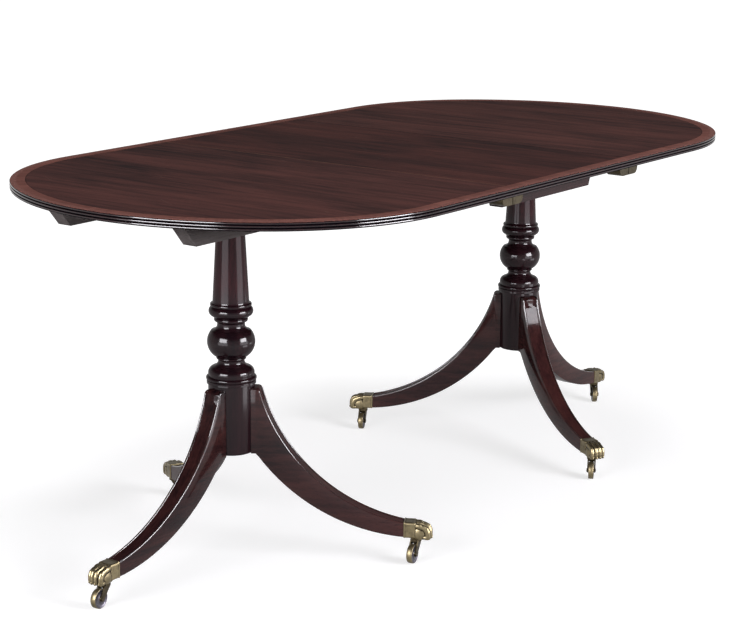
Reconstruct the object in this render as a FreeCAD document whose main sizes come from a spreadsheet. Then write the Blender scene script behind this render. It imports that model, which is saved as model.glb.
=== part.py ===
import FreeCAD, Part
import math
import os
import Sketcher

# Twin pedestal dining table: two rounded ends that tilt on their pedestals, and one loose leaf between them.
# Frame: origin on the floor under the table's middle, +X along the length, +Z up, millimetres.
# The right half is drawn in place. The left half is the same pieces turned half round about Z.

SIZES = {
    # Top as a whole
    "top_height": 720.0,
    "table_length": 1752.0,
    "leaf_length": 430.0,
    "table_width": 892.0,
    "end_straight": 70.0,
    "end_flatten": 26.0,
    "top_thick": 16.0,
    "seam_gap": 0.4,
    # Edge moulding and crossband
    "edge_width": 12.0,
    "reed_rise": 2.0,
    "band_width": 18.0,
    "band_thick": 1.2,
    "glue_gap": 0.05,
    # Bearers under the ends
    "bearer_place": 148.0,
    "bearer_thick": 30.0,
    "bearer_depth": 40.0,
    "bearer_slope": 34.0,
    "bearer_end_gap": 54.0,
    "bearer_seam_gap": 24.0,
    # Bearers under the leaf
    "leaf_bearer_gap": 42.0,
    "leaf_bearer_inset": 86.0,
    "leaf_bearer_thick": 28.0,
    "leaf_bearer_depth": 38.0,
    "leaf_bearer_slope": 14.0,
    # Screws through the bearers
    "screw_radius": 2.5,
    "screw_head_radius": 5.0,
    "screw_head_thick": 3.0,
    "screw_bite": 10.0,
    "screw_inset": 70.0,
    "screw_pivot_gap": 80.0,
    # Clips across the seams
    "clip_inset": 1.0,
    "clip_width": 32.0,
    "clip_length": 33.0,
    "clip_depth": 18.0,
    "clip_round": 12.0,
    "clip_seam_gap": 1.0,
    "prong_radius": 3.0,
    "prong_spread": 16.0,
    "prong_length": 26.0,
    # Tilt block, pivot rod and catch
    "block_length": 250.0,
    "block_thick": 44.0,
    "block_side_gap": 0.5,
    "block_gap": 0.3,
    "pivot_drop": 20.0,
    "pivot_radius": 6.0,
    "catch_length": 60.0,
    "catch_width": 34.0,
    "catch_depth": 18.0,
    "catch_gap": 8.0,
    "bolt_radius": 4.5,
    "bolt_reach": 4.0,
    "bolt_tail": 46.0,
    "bolt_throw": 14.0,
    "knob_radius": 3.5,
    "knob_length": 16.0,
    # Pedestal column
    "pedestal_spacing": 1012.0,
    "hub_bottom": 204.0,
    "hub_radius": 44.0,
    "hub_round": 6.0,
    "ring_bottom": 338.0,
    "ball_radius": 45.5,
    "shaft_bottom": 498.0,
    "shaft_top_radius": 25.6,
    "tenon_radius": 19.0,
    "tenon_short": 1.0,
    "joint_gap": 0.1,
    # Sabre legs
    "leg_width": 38.0,
    "leg_toe_width": 30.0,
    "leg_top": 331.0,
    "leg_shoulder": 58.0,
    "shoulder_round": 9.0,
    "leg_heel": 50.0,
    "leg_end": 331.0,
    "leg_top_radius": 348.0,
    "leg_under_radius": 376.0,
    "channel_width": 20.0,
    "channel_depth": 1.6,
    "tongue_height": 96.0,
    "tongue_depth": 13.0,
    "tongue_neck": 10.0,
    "tongue_tail": 14.0,
    # Brass paw caps
    "cap_wall": 4.0,
    "cuff_width": 6.0,
    "cuff_proud": 1.5,
    "paw_clear": 8.5,
    "paw_height": 33.5,
    "paw_width": 34.0,
    "toe_reach": 34.0,
    "toe_wall": 2.0,
    # Castors
    "pin_set": 23.0,
    "castor_trail": 18.0,
    "wheel_radius": 18.5,
    "wheel_width": 11.0,
    "wheel_edge": 1.5,
    "axle_radius": 2.5,
    "axle_head_radius": 4.0,
    "axle_head_thick": 1.2,
    "arm_gap": 0.6,
    "arm_thick": 2.6,
    "arm_boss_radius": 5.0,
    "crown_radius": 10.5,
    "crown_thick": 6.0,
    "swivel_gap": 0.3,
    "pin_radius": 5.0,
    "pin_wall": 7.5,
    # Clearances shared by all running fits, and the overrun of cuts
    "running_gap": 0.05,
    "overrun": 5.0,
}

REED_COUNT = 3
LEG_ANGLES = (0.0, 120.0, -120.0)
# Plan angles of the trailing wheels as the castors stand, for the legs in the order above
CASTOR_ANGLES = {"right": (218.0, 206.0, 208.0), "left": (186.0, 193.0, 350.0)}
HALF_TURN = {"right": 0.0, "left": 180.0}
# Turned column between the ring's foot and the shaft's foot: radius as a share of the ball's radius, height
# as a share of that stretch, and for a round stretch up to the next point its arc as a share of the ball's
# radius (below zero for a hollow)
COLUMN_SHARES = (
    (1.026, 0.000, 0.0),
    (1.026, 0.036, 0.0),
    (1.004, 0.041, 0.0925),
    (1.004, 0.087, 0.0),
    (0.958, 0.089, 0.0),
    (0.958, 0.106, 0.282),
    (0.809, 0.197, 0.0),
    (0.774, 0.201, -0.274),
    (0.549, 0.262, 0.0),
    (0.554, 0.281, 0.0),
    (0.611, 0.294, 0.0),
    (0.611, 0.310, 0.0),
    (0.602, 0.314, 0.738),
    (0.824, 0.636, 0.0),
    (0.791, 0.640, -0.242),
    (0.576, 0.700, 0.0),
    (0.576, 0.722, -0.084),
    (0.655, 0.745, 0.0),
    (0.673, 0.747, 0.096),
    (0.673, 0.787, 0.0),
    (0.747, 0.801, 0.0),
    (0.790, 0.810, 0.236),
    (0.790, 0.931, 0.0),
    (0.853, 0.931, 0.0),
    (0.853, 0.962, 0.0),
    (0.785, 0.966, -0.30),
)
SHAFT_FOOT_SHARE = 0.756
# Under and upper edge of the leg's end, as shares of the paw's height
LEG_END_SHARES = (0.12, 0.97)
# The paw's side outline: place from the cuff to the tip, and height from its sole to its top, as shares
PAW_SHARES = (
    (0.00, LEG_END_SHARES[0]),
    (0.17, 0.00),
    (0.88, 0.00),
    (0.97, 0.10),
    (1.00, 0.34),
    (0.95, 0.62),
    (0.79, 0.88),
    (0.55, 1.00),
    (0.30, 0.97),
    (0.00, LEG_END_SHARES[1]),
)
DIAGONAL_SHARE = 0.7071
CROWN_WAIST_SHARE = 0.58
# How far down the arms the web between them reaches
HORN_WEB_SHARE = 0.24


class Size:
    """A length of the sheet, or a sum of such lengths: its value now, and the expression that binds it."""

    def __init__(self, value, text):
        self.value = float(value)
        self.text = text

    def __add__(self, other):
        other = as_size(other)
        return Size(self.value + other.value, f"({self.text} + {other.text})")

    def __sub__(self, other):
        other = as_size(other)
        return Size(self.value - other.value, f"({self.text} - {other.text})")

    def __mul__(self, other):
        other = as_size(other)
        return Size(self.value * other.value, f"({self.text} * {other.text})")

    def __truediv__(self, other):
        other = as_size(other)
        return Size(self.value / other.value, f"({self.text} / {other.text})")

    def __neg__(self):
        return self * -1


def as_size(number):
    """A plain factor as a Size."""
    return number if isinstance(number, Size) else Size(number, f"({number})")


def root(size):
    return Size(math.sqrt(size.value), f"sqrt({size.text})")


class Sheet:
    """The document's spreadsheet of driving dimensions, read as attributes."""

    def __init__(self, document):
        self.cells = document.addObject("Spreadsheet::Sheet", "Sizes")
        for row, (name, value) in enumerate(SIZES.items(), 1):
            self.cells.set(f"A{row}", name)
            self.cells.set(f"B{row}", str(value))
            self.cells.setAlias(f"B{row}", name)
        document.recompute()

    def __getattr__(self, name):
        return Size(getattr(self.cells, name), f"Sizes.{name}")


doc = FreeCAD.newDocument("DiningTable")
s = Sheet(doc)
nodes = []


# Sketches and features

def bind(thing, path, size):
    thing.setExpression(path, size.text)


def new_body(label):
    body = doc.addObject("PartDesign::Body", label)
    body.Label = label
    return body


def new_sketch(body, role, offset=None):
    """A sketch on one of the body's origin planes, or parallel to it at an offset along its normal."""
    sketch = body.newObject("Sketcher::SketchObject", f"{body.Name}_sketch")
    plane = [feature for feature in body.Origin.OriginFeatures if feature.Role == role][0]
    sketch.AttachmentSupport = [(plane, "")]
    sketch.MapMode = "FlatFace"
    if offset is not None:
        bind(sketch, "AttachmentOffset.Base.z", offset)
    return sketch


def constrain(sketch, kind, members, size):
    index = sketch.addConstraint(Sketcher.Constraint(kind, *members, size.value))
    bind(sketch, f"Constraints[{index}]", size)


def hold(sketch, edge, end, x, y):
    """Ties one end of an edge to its place, measured from the sketch's origin."""
    constrain(sketch, "DistanceX", (-1, 1, edge, end), x)
    constrain(sketch, "DistanceY", (-1, 1, edge, end), y)


def arc_between(start, end, radius, side):
    """The short arc from start to end that bulges right of the walk (side 1) or left of it (side -1)."""
    chord = end - start
    left = FreeCAD.Vector(-chord.y, chord.x, 0) / chord.Length
    rise = math.sqrt(max(radius**2 - (chord.Length / 2) ** 2, 0.0))
    centre = (start + end) / 2 + left * (rise * side)
    first, last = (start, end) if side > 0 else (end, start)
    begin = math.atan2(first.y - centre.y, first.x - centre.x)
    finish = math.atan2(last.y - centre.y, last.x - centre.x)
    if finish < begin:
        finish += 2 * math.pi
    circle = Part.Circle(centre, FreeCAD.Vector(0, 0, 1), radius)
    return Part.ArcOfCircle(circle, begin, finish)


def draw(sketch, corners, closed=True):
    """An outline through corners (x, y) or (x, y, radius, side), where an arc leads to the next corner."""
    edges = []
    count = len(corners) if closed else len(corners) - 1
    for index in range(count):
        corner = corners[index]
        follower = corners[(index + 1) % len(corners)]
        start = FreeCAD.Vector(corner[0].value, corner[1].value, 0)
        end = FreeCAD.Vector(follower[0].value, follower[1].value, 0)
        if len(corner) == 2:
            edge = sketch.addGeometry(Part.LineSegment(start, end), False)
            edges.append((edge, 1, 2))
            continue
        radius, side = corner[2], corner[3]
        edge = sketch.addGeometry(arc_between(start, end, radius.value, side), False)
        edges.append((edge, 1, 2) if side > 0 else (edge, 2, 1))
    for index, (edge, start_end, finish_end) in enumerate(edges):
        hold(sketch, edge, start_end, corners[index][0], corners[index][1])
        if len(corners[index]) > 2:
            constrain(sketch, "Radius", (edge,), corners[index][2])
        if closed or index + 1 < count:
            next_edge, next_end, _ = edges[(index + 1) % count]
            joined = Sketcher.Constraint("Coincident", edge, finish_end, next_edge, next_end)
            sketch.addConstraint(joined)
        else:
            hold(sketch, edge, finish_end, corners[-1][0], corners[-1][1])
    return sketch


def draw_circle(sketch, x, y, radius):
    centre = FreeCAD.Vector(x.value, y.value, 0)
    circle = Part.Circle(centre, FreeCAD.Vector(0, 0, 1), radius.value)
    edge = sketch.addGeometry(circle, False)
    hold(sketch, edge, 3, x, y)
    constrain(sketch, "Radius", (edge,), radius)
    return sketch


def rectangle(low_x, low_y, high_x, high_y):
    return [(low_x, low_y), (high_x, low_y), (high_x, high_y), (low_x, high_y)]


def extrude(body, kind, sketch, length, both_ways=False, backwards=False):
    feature = body.newObject(f"PartDesign::{kind}", f"{body.Name}_{kind.lower()}")
    feature.Profile = sketch
    feature.SideType = "Symmetric" if both_ways else "One side"
    feature.Reversed = backwards
    bind(feature, "Length", length)
    return feature


def pad(body, sketch, length, both_ways=False, backwards=False):
    return extrude(body, "Pad", sketch, length, both_ways, backwards)


def pocket(body, sketch, length, both_ways=False, backwards=False):
    return extrude(body, "Pocket", sketch, length, both_ways, backwards)


def revolve(body, sketch):
    feature = body.newObject("PartDesign::Revolution", f"{body.Name}_revolution")
    feature.Profile = sketch
    feature.ReferenceAxis = (sketch, ["V_Axis"])
    feature.Angle = 360.0
    return feature


def polar(body, features, count):
    """Copies of the features round the body's Z axis."""
    axis = [feature for feature in body.Origin.OriginFeatures if feature.Role == "Z_Axis"][0]
    pattern = body.newObject("PartDesign::PolarPattern", f"{body.Name}_pattern")
    pattern.Originals = features
    pattern.Axis = (axis, [""])
    pattern.Angle = 360.0
    pattern.Occurrences = count
    body.Tip = pattern


def place(thing, turn, x=None, y=None, z=None):
    """Turns a piece about Z and moves it to its place."""
    thing.Placement = FreeCAD.Placement(FreeCAD.Vector(), FreeCAD.Rotation(FreeCAD.Vector(0, 0, 1), turn))
    for path, size in (("x", x), ("y", y), ("z", z)):
        if size is not None:
            bind(thing, f"Placement.Base.{path}", size)
    return thing


def group(label, members):
    """Several like solids that make one node."""
    compound = doc.addObject("Part::Compound", label)
    compound.Label = label
    compound.Links = members
    return compound


def keep(thing):
    nodes.append(thing)
    return thing


# Levels and places that several pieces share

zero = s.top_height * 0
under = s.top_height - s.top_thick
band_level = s.top_height - s.band_thick
seam = s.leaf_length / 2 + s.seam_gap
column_place = s.pedestal_spacing / 2
half_width = s.table_width / 2
corner_radius = half_width - s.end_straight
bend_place = s.table_length / 2 - corner_radius - s.end_flatten
bearer_start = seam + s.bearer_seam_gap
bearer_end = s.table_length / 2 - s.bearer_end_gap
pivot_nose = s.pivot_drop - s.block_gap
pivot_place = column_place + s.block_length / 2 - pivot_nose
pivot_level = under - s.pivot_drop
block_bottom = under - s.block_gap - s.block_thick
block_half_width = s.bearer_place - s.bearer_thick / 2 - s.block_side_gap
block_inner_face = column_place - s.block_length / 2
catch_front = block_inner_face - s.catch_gap
catch_level = under - s.catch_depth / 2
leaf_bearer_reach = s.leaf_length / 2 - s.leaf_bearer_gap
leaf_bearer_place = half_width - s.leaf_bearer_inset
clip_place = half_width - s.edge_width - s.clip_inset - s.clip_width / 2
clip_level = under - s.clip_depth / 2
flat_radius = root(s.hub_radius * s.hub_radius - s.leg_width * s.leg_width / 4)
paw_bottom = s.wheel_radius * 2 + s.paw_clear
paw_top = paw_bottom + s.paw_height
leg_end_bottom = paw_bottom + s.paw_height * LEG_END_SHARES[0]
leg_end_top = paw_bottom + s.paw_height * LEG_END_SHARES[1]
leg_end_level = (leg_end_top + leg_end_bottom) / 2
toe_tenon_height = leg_end_top - leg_end_bottom - s.cap_wall * 2
toe_tenon_width = s.leg_toe_width - s.cap_wall * 2
toe_tenon_length = s.pin_set - s.pin_radius - s.toe_wall
swivel_place = s.leg_end + s.pin_set
paw_tip = swivel_place + s.toe_reach
pin_length = s.paw_height - s.pin_wall
axle_half_length = s.wheel_width / 2 + s.arm_gap + s.arm_thick
fork_top = paw_bottom - s.swivel_gap


def end_curve(inset):
    """The rounded end's edge, set in by an inset: from the near seam corner round to the far one."""
    side = half_width - inset
    corner = corner_radius
    offset = s.end_straight
    reach = corner + s.end_flatten
    end = (reach * reach + offset * offset - corner * corner) / (s.end_flatten * 2)
    between = end - corner
    meet_x = bend_place + (corner - inset) * (end - reach) / between
    meet_y = offset + (corner - inset) * offset / between
    return [
        (seam, -side),
        (bend_place, -side, corner - inset, 1),
        (meet_x, -meet_y, end - inset, 1),
        (meet_x, meet_y, corner - inset, 1),
        (bend_place, side),
        (seam, side),
    ]


def walked_back(corners):
    """The same curve from its last corner to its first."""
    turned = [corners[-1]]
    for before, corner in zip(corners[-2::-1], corners[:0:-1]):
        if len(before) > 2:
            turned[-1] = (*corner[:2], before[2], -before[3])
        turned.append(before[:2])
    return turned


def reed_profile():
    """Section of the edge moulding at the near side of the seam: Y across, Z up."""
    face = s.reed_rise - half_width
    back = s.edge_width - half_width
    pitch = s.top_thick / REED_COUNT
    radius = (pitch * pitch / 4 + s.reed_rise * s.reed_rise) / (s.reed_rise * 2)
    corners = [(back, under)]
    for reed in range(REED_COUNT):
        corners.append((face, under + pitch * reed, radius, -1))
    return corners + [(face, s.top_height), (back, s.top_height)]


# The top

def end_board(side):
    body = new_body(f"{side}_end_board")
    base = draw(new_sketch(body, "XY_Plane", under), end_curve(s.edge_width + s.glue_gap))
    pad(body, base, s.top_thick - s.band_thick)
    field = draw(new_sketch(body, "XY_Plane", band_level), end_curve(s.edge_width + s.band_width))
    pad(body, field, s.band_thick)
    holes = new_sketch(body, "XY_Plane", under)
    for place_x in bearer_screw_places():
        for across in (-s.bearer_place, s.bearer_place):
            draw_circle(holes, place_x, across, s.screw_radius + s.running_gap)
    pocket(body, holes, s.screw_bite + s.running_gap, backwards=True)
    return keep(place(body, HALF_TURN[side]))


def end_crossband(side):
    body = new_body(f"{side}_end_crossband")
    outer = end_curve(s.edge_width + s.glue_gap)
    inner = end_curve(s.edge_width + s.band_width - s.glue_gap)
    outline = draw(new_sketch(body, "XY_Plane", band_level), outer + walked_back(inner))
    pad(body, outline, s.band_thick)
    return keep(place(body, HALF_TURN[side]))


def end_reeded_edge(side):
    body = new_body(f"{side}_end_reeded_edge")
    path = draw(new_sketch(body, "XY_Plane", under), end_curve(zero), closed=False)
    profile = draw(new_sketch(body, "YZ_Plane", seam), reed_profile())
    pipe = body.newObject("PartDesign::AdditivePipe", f"{body.Name}_pipe")
    pipe.Profile = profile
    pipe.Spine = (path, [f"Edge{index + 1}" for index in range(path.GeometryCount)])
    return keep(place(body, HALF_TURN[side]))


def leaf_board():
    body = new_body("leaf_board")
    half_length = s.leaf_length / 2
    half_base = half_width - s.edge_width - s.glue_gap
    base = rectangle(-half_length, -half_base, half_length, half_base)
    pad(body, draw(new_sketch(body, "XY_Plane", under), base), s.top_thick - s.band_thick)
    half_field = half_width - s.edge_width - s.band_width
    field = rectangle(-half_length, -half_field, half_length, half_field)
    pad(body, draw(new_sketch(body, "XY_Plane", band_level), field), s.band_thick)
    holes = new_sketch(body, "XY_Plane", under)
    for place_x in leaf_screw_places():
        for across in (-leaf_bearer_place, leaf_bearer_place):
            draw_circle(holes, place_x, across, s.screw_radius + s.running_gap)
    pocket(body, holes, s.screw_bite + s.running_gap, backwards=True)
    return keep(body)


def leaf_crossbands():
    strips = []
    for side in ("near", "far"):
        strip = new_body(f"leaf_{side}_crossband")
        low = -(half_width - s.edge_width - s.glue_gap)
        high = -(half_width - s.edge_width - s.band_width + s.glue_gap)
        outline = rectangle(-s.leaf_length / 2, low, s.leaf_length / 2, high)
        pad(strip, draw(new_sketch(strip, "XY_Plane", band_level), outline), s.band_thick)
        strips.append(place(strip, 0.0 if side == "near" else 180.0))
    return keep(group("leaf_crossbands", strips))


def leaf_reeded_edges():
    strips = []
    for side in ("near", "far"):
        strip = new_body(f"leaf_{side}_reeded_edge")
        pad(strip, draw(new_sketch(strip, "YZ_Plane"), reed_profile()), s.leaf_length, both_ways=True)
        strips.append(place(strip, 0.0 if side == "near" else 180.0))
    return keep(group("leaf_reeded_edges", strips))


# Bearers and their screws

def bearer_screw_places():
    """A screw near a bearer's seam end, and one on each side of the pivot rod."""
    first = bearer_start + s.screw_inset
    return first, pivot_place - s.screw_pivot_gap, (pivot_place + bearer_end) / 2


def leaf_screw_places():
    outer = leaf_bearer_reach - s.screw_inset
    return -outer, outer


def bearer_solid(body, start, end, slope, depth, thick, screw_places):
    """A rail under the top with sloping ends, bored and counterbored for its screws."""
    bottom = under - depth
    outline = [(start, under), (start + slope, bottom), (end - slope, bottom), (end, under)]
    pad(body, draw(new_sketch(body, "XZ_Plane"), outline), thick, both_ways=True)
    shanks = new_sketch(body, "XY_Plane", bottom)
    heads = new_sketch(body, "XY_Plane", bottom)
    for place_x in screw_places:
        draw_circle(shanks, place_x, zero, s.screw_radius + s.running_gap)
        draw_circle(heads, place_x, zero, s.screw_head_radius + s.running_gap)
    pocket(body, shanks, depth + s.overrun, backwards=True)
    pocket(body, heads, s.screw_head_thick, backwards=True)


def end_bearer(side, row):
    """One of the two rails that straddle the tilt block."""
    body = new_body(f"{side}_{row}_bearer")
    section = (s.bearer_slope, s.bearer_depth, s.bearer_thick)
    bearer_solid(body, bearer_start, bearer_end, *section, bearer_screw_places())
    middle = new_sketch(body, "XZ_Plane")
    bore = draw_circle(middle, pivot_place, pivot_level, s.pivot_radius + s.running_gap)
    pocket(body, bore, s.bearer_thick + s.overrun, both_ways=True)
    across = -s.bearer_place if row == "near" else s.bearer_place
    return keep(place(body, HALF_TURN[side], y=across))


def leaf_bearers():
    rails = []
    ends = (-leaf_bearer_reach, leaf_bearer_reach)
    section = (s.leaf_bearer_slope, s.leaf_bearer_depth, s.leaf_bearer_thick)
    for row, across in (("near", -leaf_bearer_place), ("far", leaf_bearer_place)):
        rail = new_body(f"leaf_{row}_bearer")
        bearer_solid(rail, *ends, *section, leaf_screw_places())
        rails.append(place(rail, 0.0, y=across))
    return keep(group("leaf_bearers", rails))


def screw(label, depth):
    """A flat headed screw, upright, with its head's face at zero height."""
    body = new_body(label)
    length = depth + s.screw_bite
    profile = [
        (zero, zero),
        (s.screw_head_radius, zero),
        (s.screw_head_radius, s.screw_head_thick - s.running_gap),
        (s.screw_radius, s.screw_head_thick - s.running_gap),
        (s.screw_radius, length - s.screw_radius),
        (zero, length),
    ]
    revolve(body, draw(new_sketch(body, "XZ_Plane"), profile))
    return body


def screws(label, places, across, depth, turn=0.0):
    """A row of screws in each of two rails."""
    members = []
    for place_x in places:
        for place_y in (-across, across):
            piece = screw(f"{label}_{len(members) + 1}", depth)
            members.append(place(piece, 0.0, place_x, place_y, under - depth))
    return keep(place(group(label, members), turn))


# Clips across the seams

def clip_outline(inner, outer):
    """Side view of a clip's block: square at the seam, rounded where it points away from it."""
    bottom = under - s.clip_depth
    away = 1 if outer.value > inner.value else -1
    bend = outer - s.clip_round * away
    lower = [(inner, bottom), (bend, bottom, s.clip_round, away), (outer, bottom + s.clip_round)]
    return lower + [(outer, under), (inner, under)]


def prong_sketch(body, offset, radius):
    sketch = new_sketch(body, "YZ_Plane", offset)
    for across in (-s.prong_spread / 2, s.prong_spread / 2):
        draw_circle(sketch, across, clip_level, radius)
    return sketch


def leaf_forks():
    """Brass forks under the leaf's four corners, with two prongs each past the seam."""
    forks = []
    face = s.leaf_length / 2 - s.clip_seam_gap
    reach = s.prong_length + s.seam_gap + s.clip_seam_gap * 2
    for turn in HALF_TURN.values():
        for across in (-clip_place, clip_place):
            body = new_body(f"leaf_fork_{len(forks) + 1}")
            outline = clip_outline(face, face - s.clip_length)
            pad(body, draw(new_sketch(body, "XZ_Plane"), outline), s.clip_width, both_ways=True)
            pad(body, prong_sketch(body, face, s.prong_radius), reach)
            forks.append(place(body, turn, y=across))
    return keep(group("leaf_forks", forks))


def fork_sockets(side):
    """Brass sockets under an end, bored for the leaf's prongs."""
    sockets = []
    face = seam + s.clip_seam_gap
    for across in (-clip_place, clip_place):
        body = new_body(f"{side}_fork_socket_{len(sockets) + 1}")
        outline = clip_outline(face, face + s.clip_length)
        pad(body, draw(new_sketch(body, "XZ_Plane"), outline), s.clip_width, both_ways=True)
        bores = prong_sketch(body, face, s.prong_radius + s.running_gap)
        pocket(body, bores, s.prong_length + s.running_gap, backwards=True)
        sockets.append(place(body, HALF_TURN[side], y=across))
    return keep(group(f"{side}_fork_sockets", sockets))


# Tilt block, pivot rod and catch

def tilt_block(side):
    body = new_body(f"{side}_tilt_block")
    top = under - s.block_gap
    outline = [
        (block_inner_face, block_bottom),
        (pivot_place + pivot_nose, block_bottom),
        (pivot_place + pivot_nose, pivot_level, pivot_nose, 1),
        (pivot_place, top),
        (block_inner_face, top),
    ]
    pad(body, draw(new_sketch(body, "XZ_Plane"), outline), block_half_width * 2, both_ways=True)
    sole = new_sketch(body, "XY_Plane", block_bottom)
    mortise = draw_circle(sole, column_place, zero, s.tenon_radius + s.joint_gap)
    pocket(body, mortise, s.block_thick + s.overrun, backwards=True)
    middle = new_sketch(body, "XZ_Plane")
    bore = draw_circle(middle, pivot_place, pivot_level, s.pivot_radius + s.running_gap)
    pocket(body, bore, block_half_width * 2 + s.overrun, both_ways=True)
    inner_face = new_sketch(body, "YZ_Plane", block_inner_face)
    strike = draw_circle(inner_face, zero, catch_level, s.bolt_radius + s.running_gap)
    pocket(body, strike, s.bolt_throw, backwards=True)
    return keep(place(body, HALF_TURN[side]))


def pivot_rod(side):
    """The iron rod on which an end tilts, through both bearers and the block."""
    body = new_body(f"{side}_pivot_rod")
    section = draw_circle(new_sketch(body, "XZ_Plane"), pivot_place, pivot_level, s.pivot_radius)
    pad(body, section, s.bearer_place * 2 + s.bearer_thick, both_ways=True)
    return keep(place(body, HALF_TURN[side]))


def catch_case(side):
    """The catch's brass case, bored for its bolt and slotted below for the bolt's knob."""
    body = new_body(f"{side}_catch_case")
    sole = under - s.catch_depth
    outline = rectangle(catch_front - s.catch_length, -s.catch_width / 2, catch_front, s.catch_width / 2)
    pad(body, draw(new_sketch(body, "XY_Plane", sole), outline), s.catch_depth)
    front = new_sketch(body, "YZ_Plane", catch_front)
    bore = draw_circle(front, zero, catch_level, s.bolt_radius + s.running_gap)
    pocket(body, bore, s.catch_length + s.overrun)
    half_slot = s.knob_radius + s.swivel_gap
    knob = knob_place()
    slot = rectangle(knob - half_slot, -half_slot, knob + s.bolt_throw + half_slot, half_slot)
    pocket(body, draw(new_sketch(body, "XY_Plane", sole), slot), s.catch_depth / 2, backwards=True)
    return keep(place(body, HALF_TURN[side]))


def knob_place():
    """Where the knob stands while the bolt is drawn back."""
    return catch_front - s.catch_length / 2 - s.bolt_throw / 2


def catch_bolt(side):
    body = new_body(f"{side}_catch_bolt")
    tip = catch_front + s.bolt_reach
    section = draw_circle(new_sketch(body, "YZ_Plane", tip), zero, catch_level, s.bolt_radius)
    pad(body, section, s.bolt_reach + s.bolt_tail, backwards=True)
    knob = draw_circle(new_sketch(body, "XY_Plane", catch_level), knob_place(), zero, s.knob_radius)
    pad(body, knob, s.knob_length, backwards=True)
    return keep(place(body, HALF_TURN[side]))


# Columns and legs

def column_profile():
    """Half section of the turned column from its foot up, radius across and height up."""
    stretch = s.shaft_bottom - s.ring_bottom
    corners = [
        (zero, s.hub_bottom),
        (s.hub_radius - s.hub_round, s.hub_bottom, s.hub_round, 1),
        (s.hub_radius, s.hub_bottom + s.hub_round),
        (s.hub_radius, s.ring_bottom),
    ]
    for radius_share, height_share, arc_share in COLUMN_SHARES:
        corner = (s.ball_radius * radius_share, s.ring_bottom + stretch * height_share)
        if arc_share:
            corner += (s.ball_radius * abs(arc_share), 1 if arc_share > 0 else -1)
        corners.append(corner)
    tenon_top = under - s.block_gap - s.tenon_short
    return corners + [
        (s.ball_radius * SHAFT_FOOT_SHARE, s.shaft_bottom),
        (s.shaft_top_radius, block_bottom),
        (s.tenon_radius, block_bottom),
        (s.tenon_radius, tenon_top),
        (zero, tenon_top),
    ]


def tongue_outline(gap):
    """Plan of a leg's dovetail tongue, or of its socket with a gap all round."""
    neck = s.tongue_neck / 2 + gap
    tail = s.tongue_tail / 2 + gap
    deep = flat_radius - s.tongue_depth - gap
    return [(deep, -tail), (flat_radius, -neck), (flat_radius, neck), (deep, tail)]


def column(side):
    body = new_body(f"{side}_column")
    revolve(body, draw(new_sketch(body, "XZ_Plane"), column_profile()))
    half_leg = s.leg_width / 2
    outline = rectangle(flat_radius, -half_leg, s.hub_radius + s.overrun, half_leg)
    seat = draw(new_sketch(body, "XY_Plane", s.hub_bottom), outline)
    flat = pocket(body, seat, s.leg_top - s.hub_bottom, backwards=True)
    polar(body, [flat], len(LEG_ANGLES))
    plan = draw(new_sketch(body, "XY_Plane", s.hub_bottom), tongue_outline(s.joint_gap))
    socket = pocket(body, plan, s.tongue_height + s.joint_gap, backwards=True)
    polar(body, [socket], len(LEG_ANGLES))
    turn = HALF_TURN[side]
    return keep(place(body, turn, column_place * math.cos(math.radians(turn))))


def leg_profile():
    """Side view of a sabre leg, from the column's axis outwards."""
    return [
        (flat_radius, s.hub_bottom),
        (s.leg_heel, s.hub_bottom, s.leg_under_radius, 1),
        (s.leg_end, leg_end_bottom),
        (s.leg_end, leg_end_top, s.leg_top_radius, -1),
        (s.leg_shoulder, s.leg_top - s.shoulder_round, s.shoulder_round, 1),
        (s.leg_shoulder - s.shoulder_round, s.leg_top),
        (flat_radius, s.leg_top),
    ]


def channel_profile():
    """Side view of the channel along the leg's upper face, which runs out over the face."""
    deep = s.channel_depth
    high = s.leg_top - s.shoulder_round
    return [
        (s.leg_shoulder - deep, high - deep, s.leg_top_radius, 1),
        (s.leg_end - deep, leg_end_top - deep),
        (s.leg_end + s.overrun, leg_end_top + s.overrun, s.leg_top_radius, -1),
        (s.leg_shoulder + s.overrun, high + s.overrun),
    ]


def pedestal_place(body, side, angle):
    """Turns a piece drawn along +X from a column's axis to its angle there."""
    sign = math.cos(math.radians(HALF_TURN[side]))
    return place(body, HALF_TURN[side] + angle, column_place * sign)


def leg(side, number, angle):
    body = new_body(f"{side}_leg_{number}")
    pad(body, draw(new_sketch(body, "XZ_Plane"), leg_profile()), s.leg_width, both_ways=True)
    wide = s.leg_width / 2 + s.overrun
    past = s.leg_end + s.overrun
    for sign in (1, -1):
        taper = [
            (s.leg_shoulder, s.leg_width / 2 * sign),
            (past, s.leg_toe_width / 2 * sign),
            (past, wide * sign),
            (s.leg_shoulder, wide * sign),
        ]
        pocket(body, draw(new_sketch(body, "XY_Plane"), taper), s.leg_top * 2 + s.overrun, both_ways=True)
    pocket(body, draw(new_sketch(body, "XZ_Plane"), channel_profile()), s.channel_width, both_ways=True)
    plan = draw(new_sketch(body, "XY_Plane", s.hub_bottom), tongue_outline(zero))
    pad(body, plan, s.tongue_height)
    toe = toe_section(zero)
    pad(body, draw(new_sketch(body, "YZ_Plane", s.leg_end), toe), toe_tenon_length)
    return keep(pedestal_place(body, side, angle))


def toe_section(gap):
    """Section of the leg's toe tenon, or of the cap's socket with a gap all round."""
    across = toe_tenon_width / 2 + gap
    upward = toe_tenon_height / 2 + gap
    return rectangle(-across, leg_end_level - upward, across, leg_end_level + upward)


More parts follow.
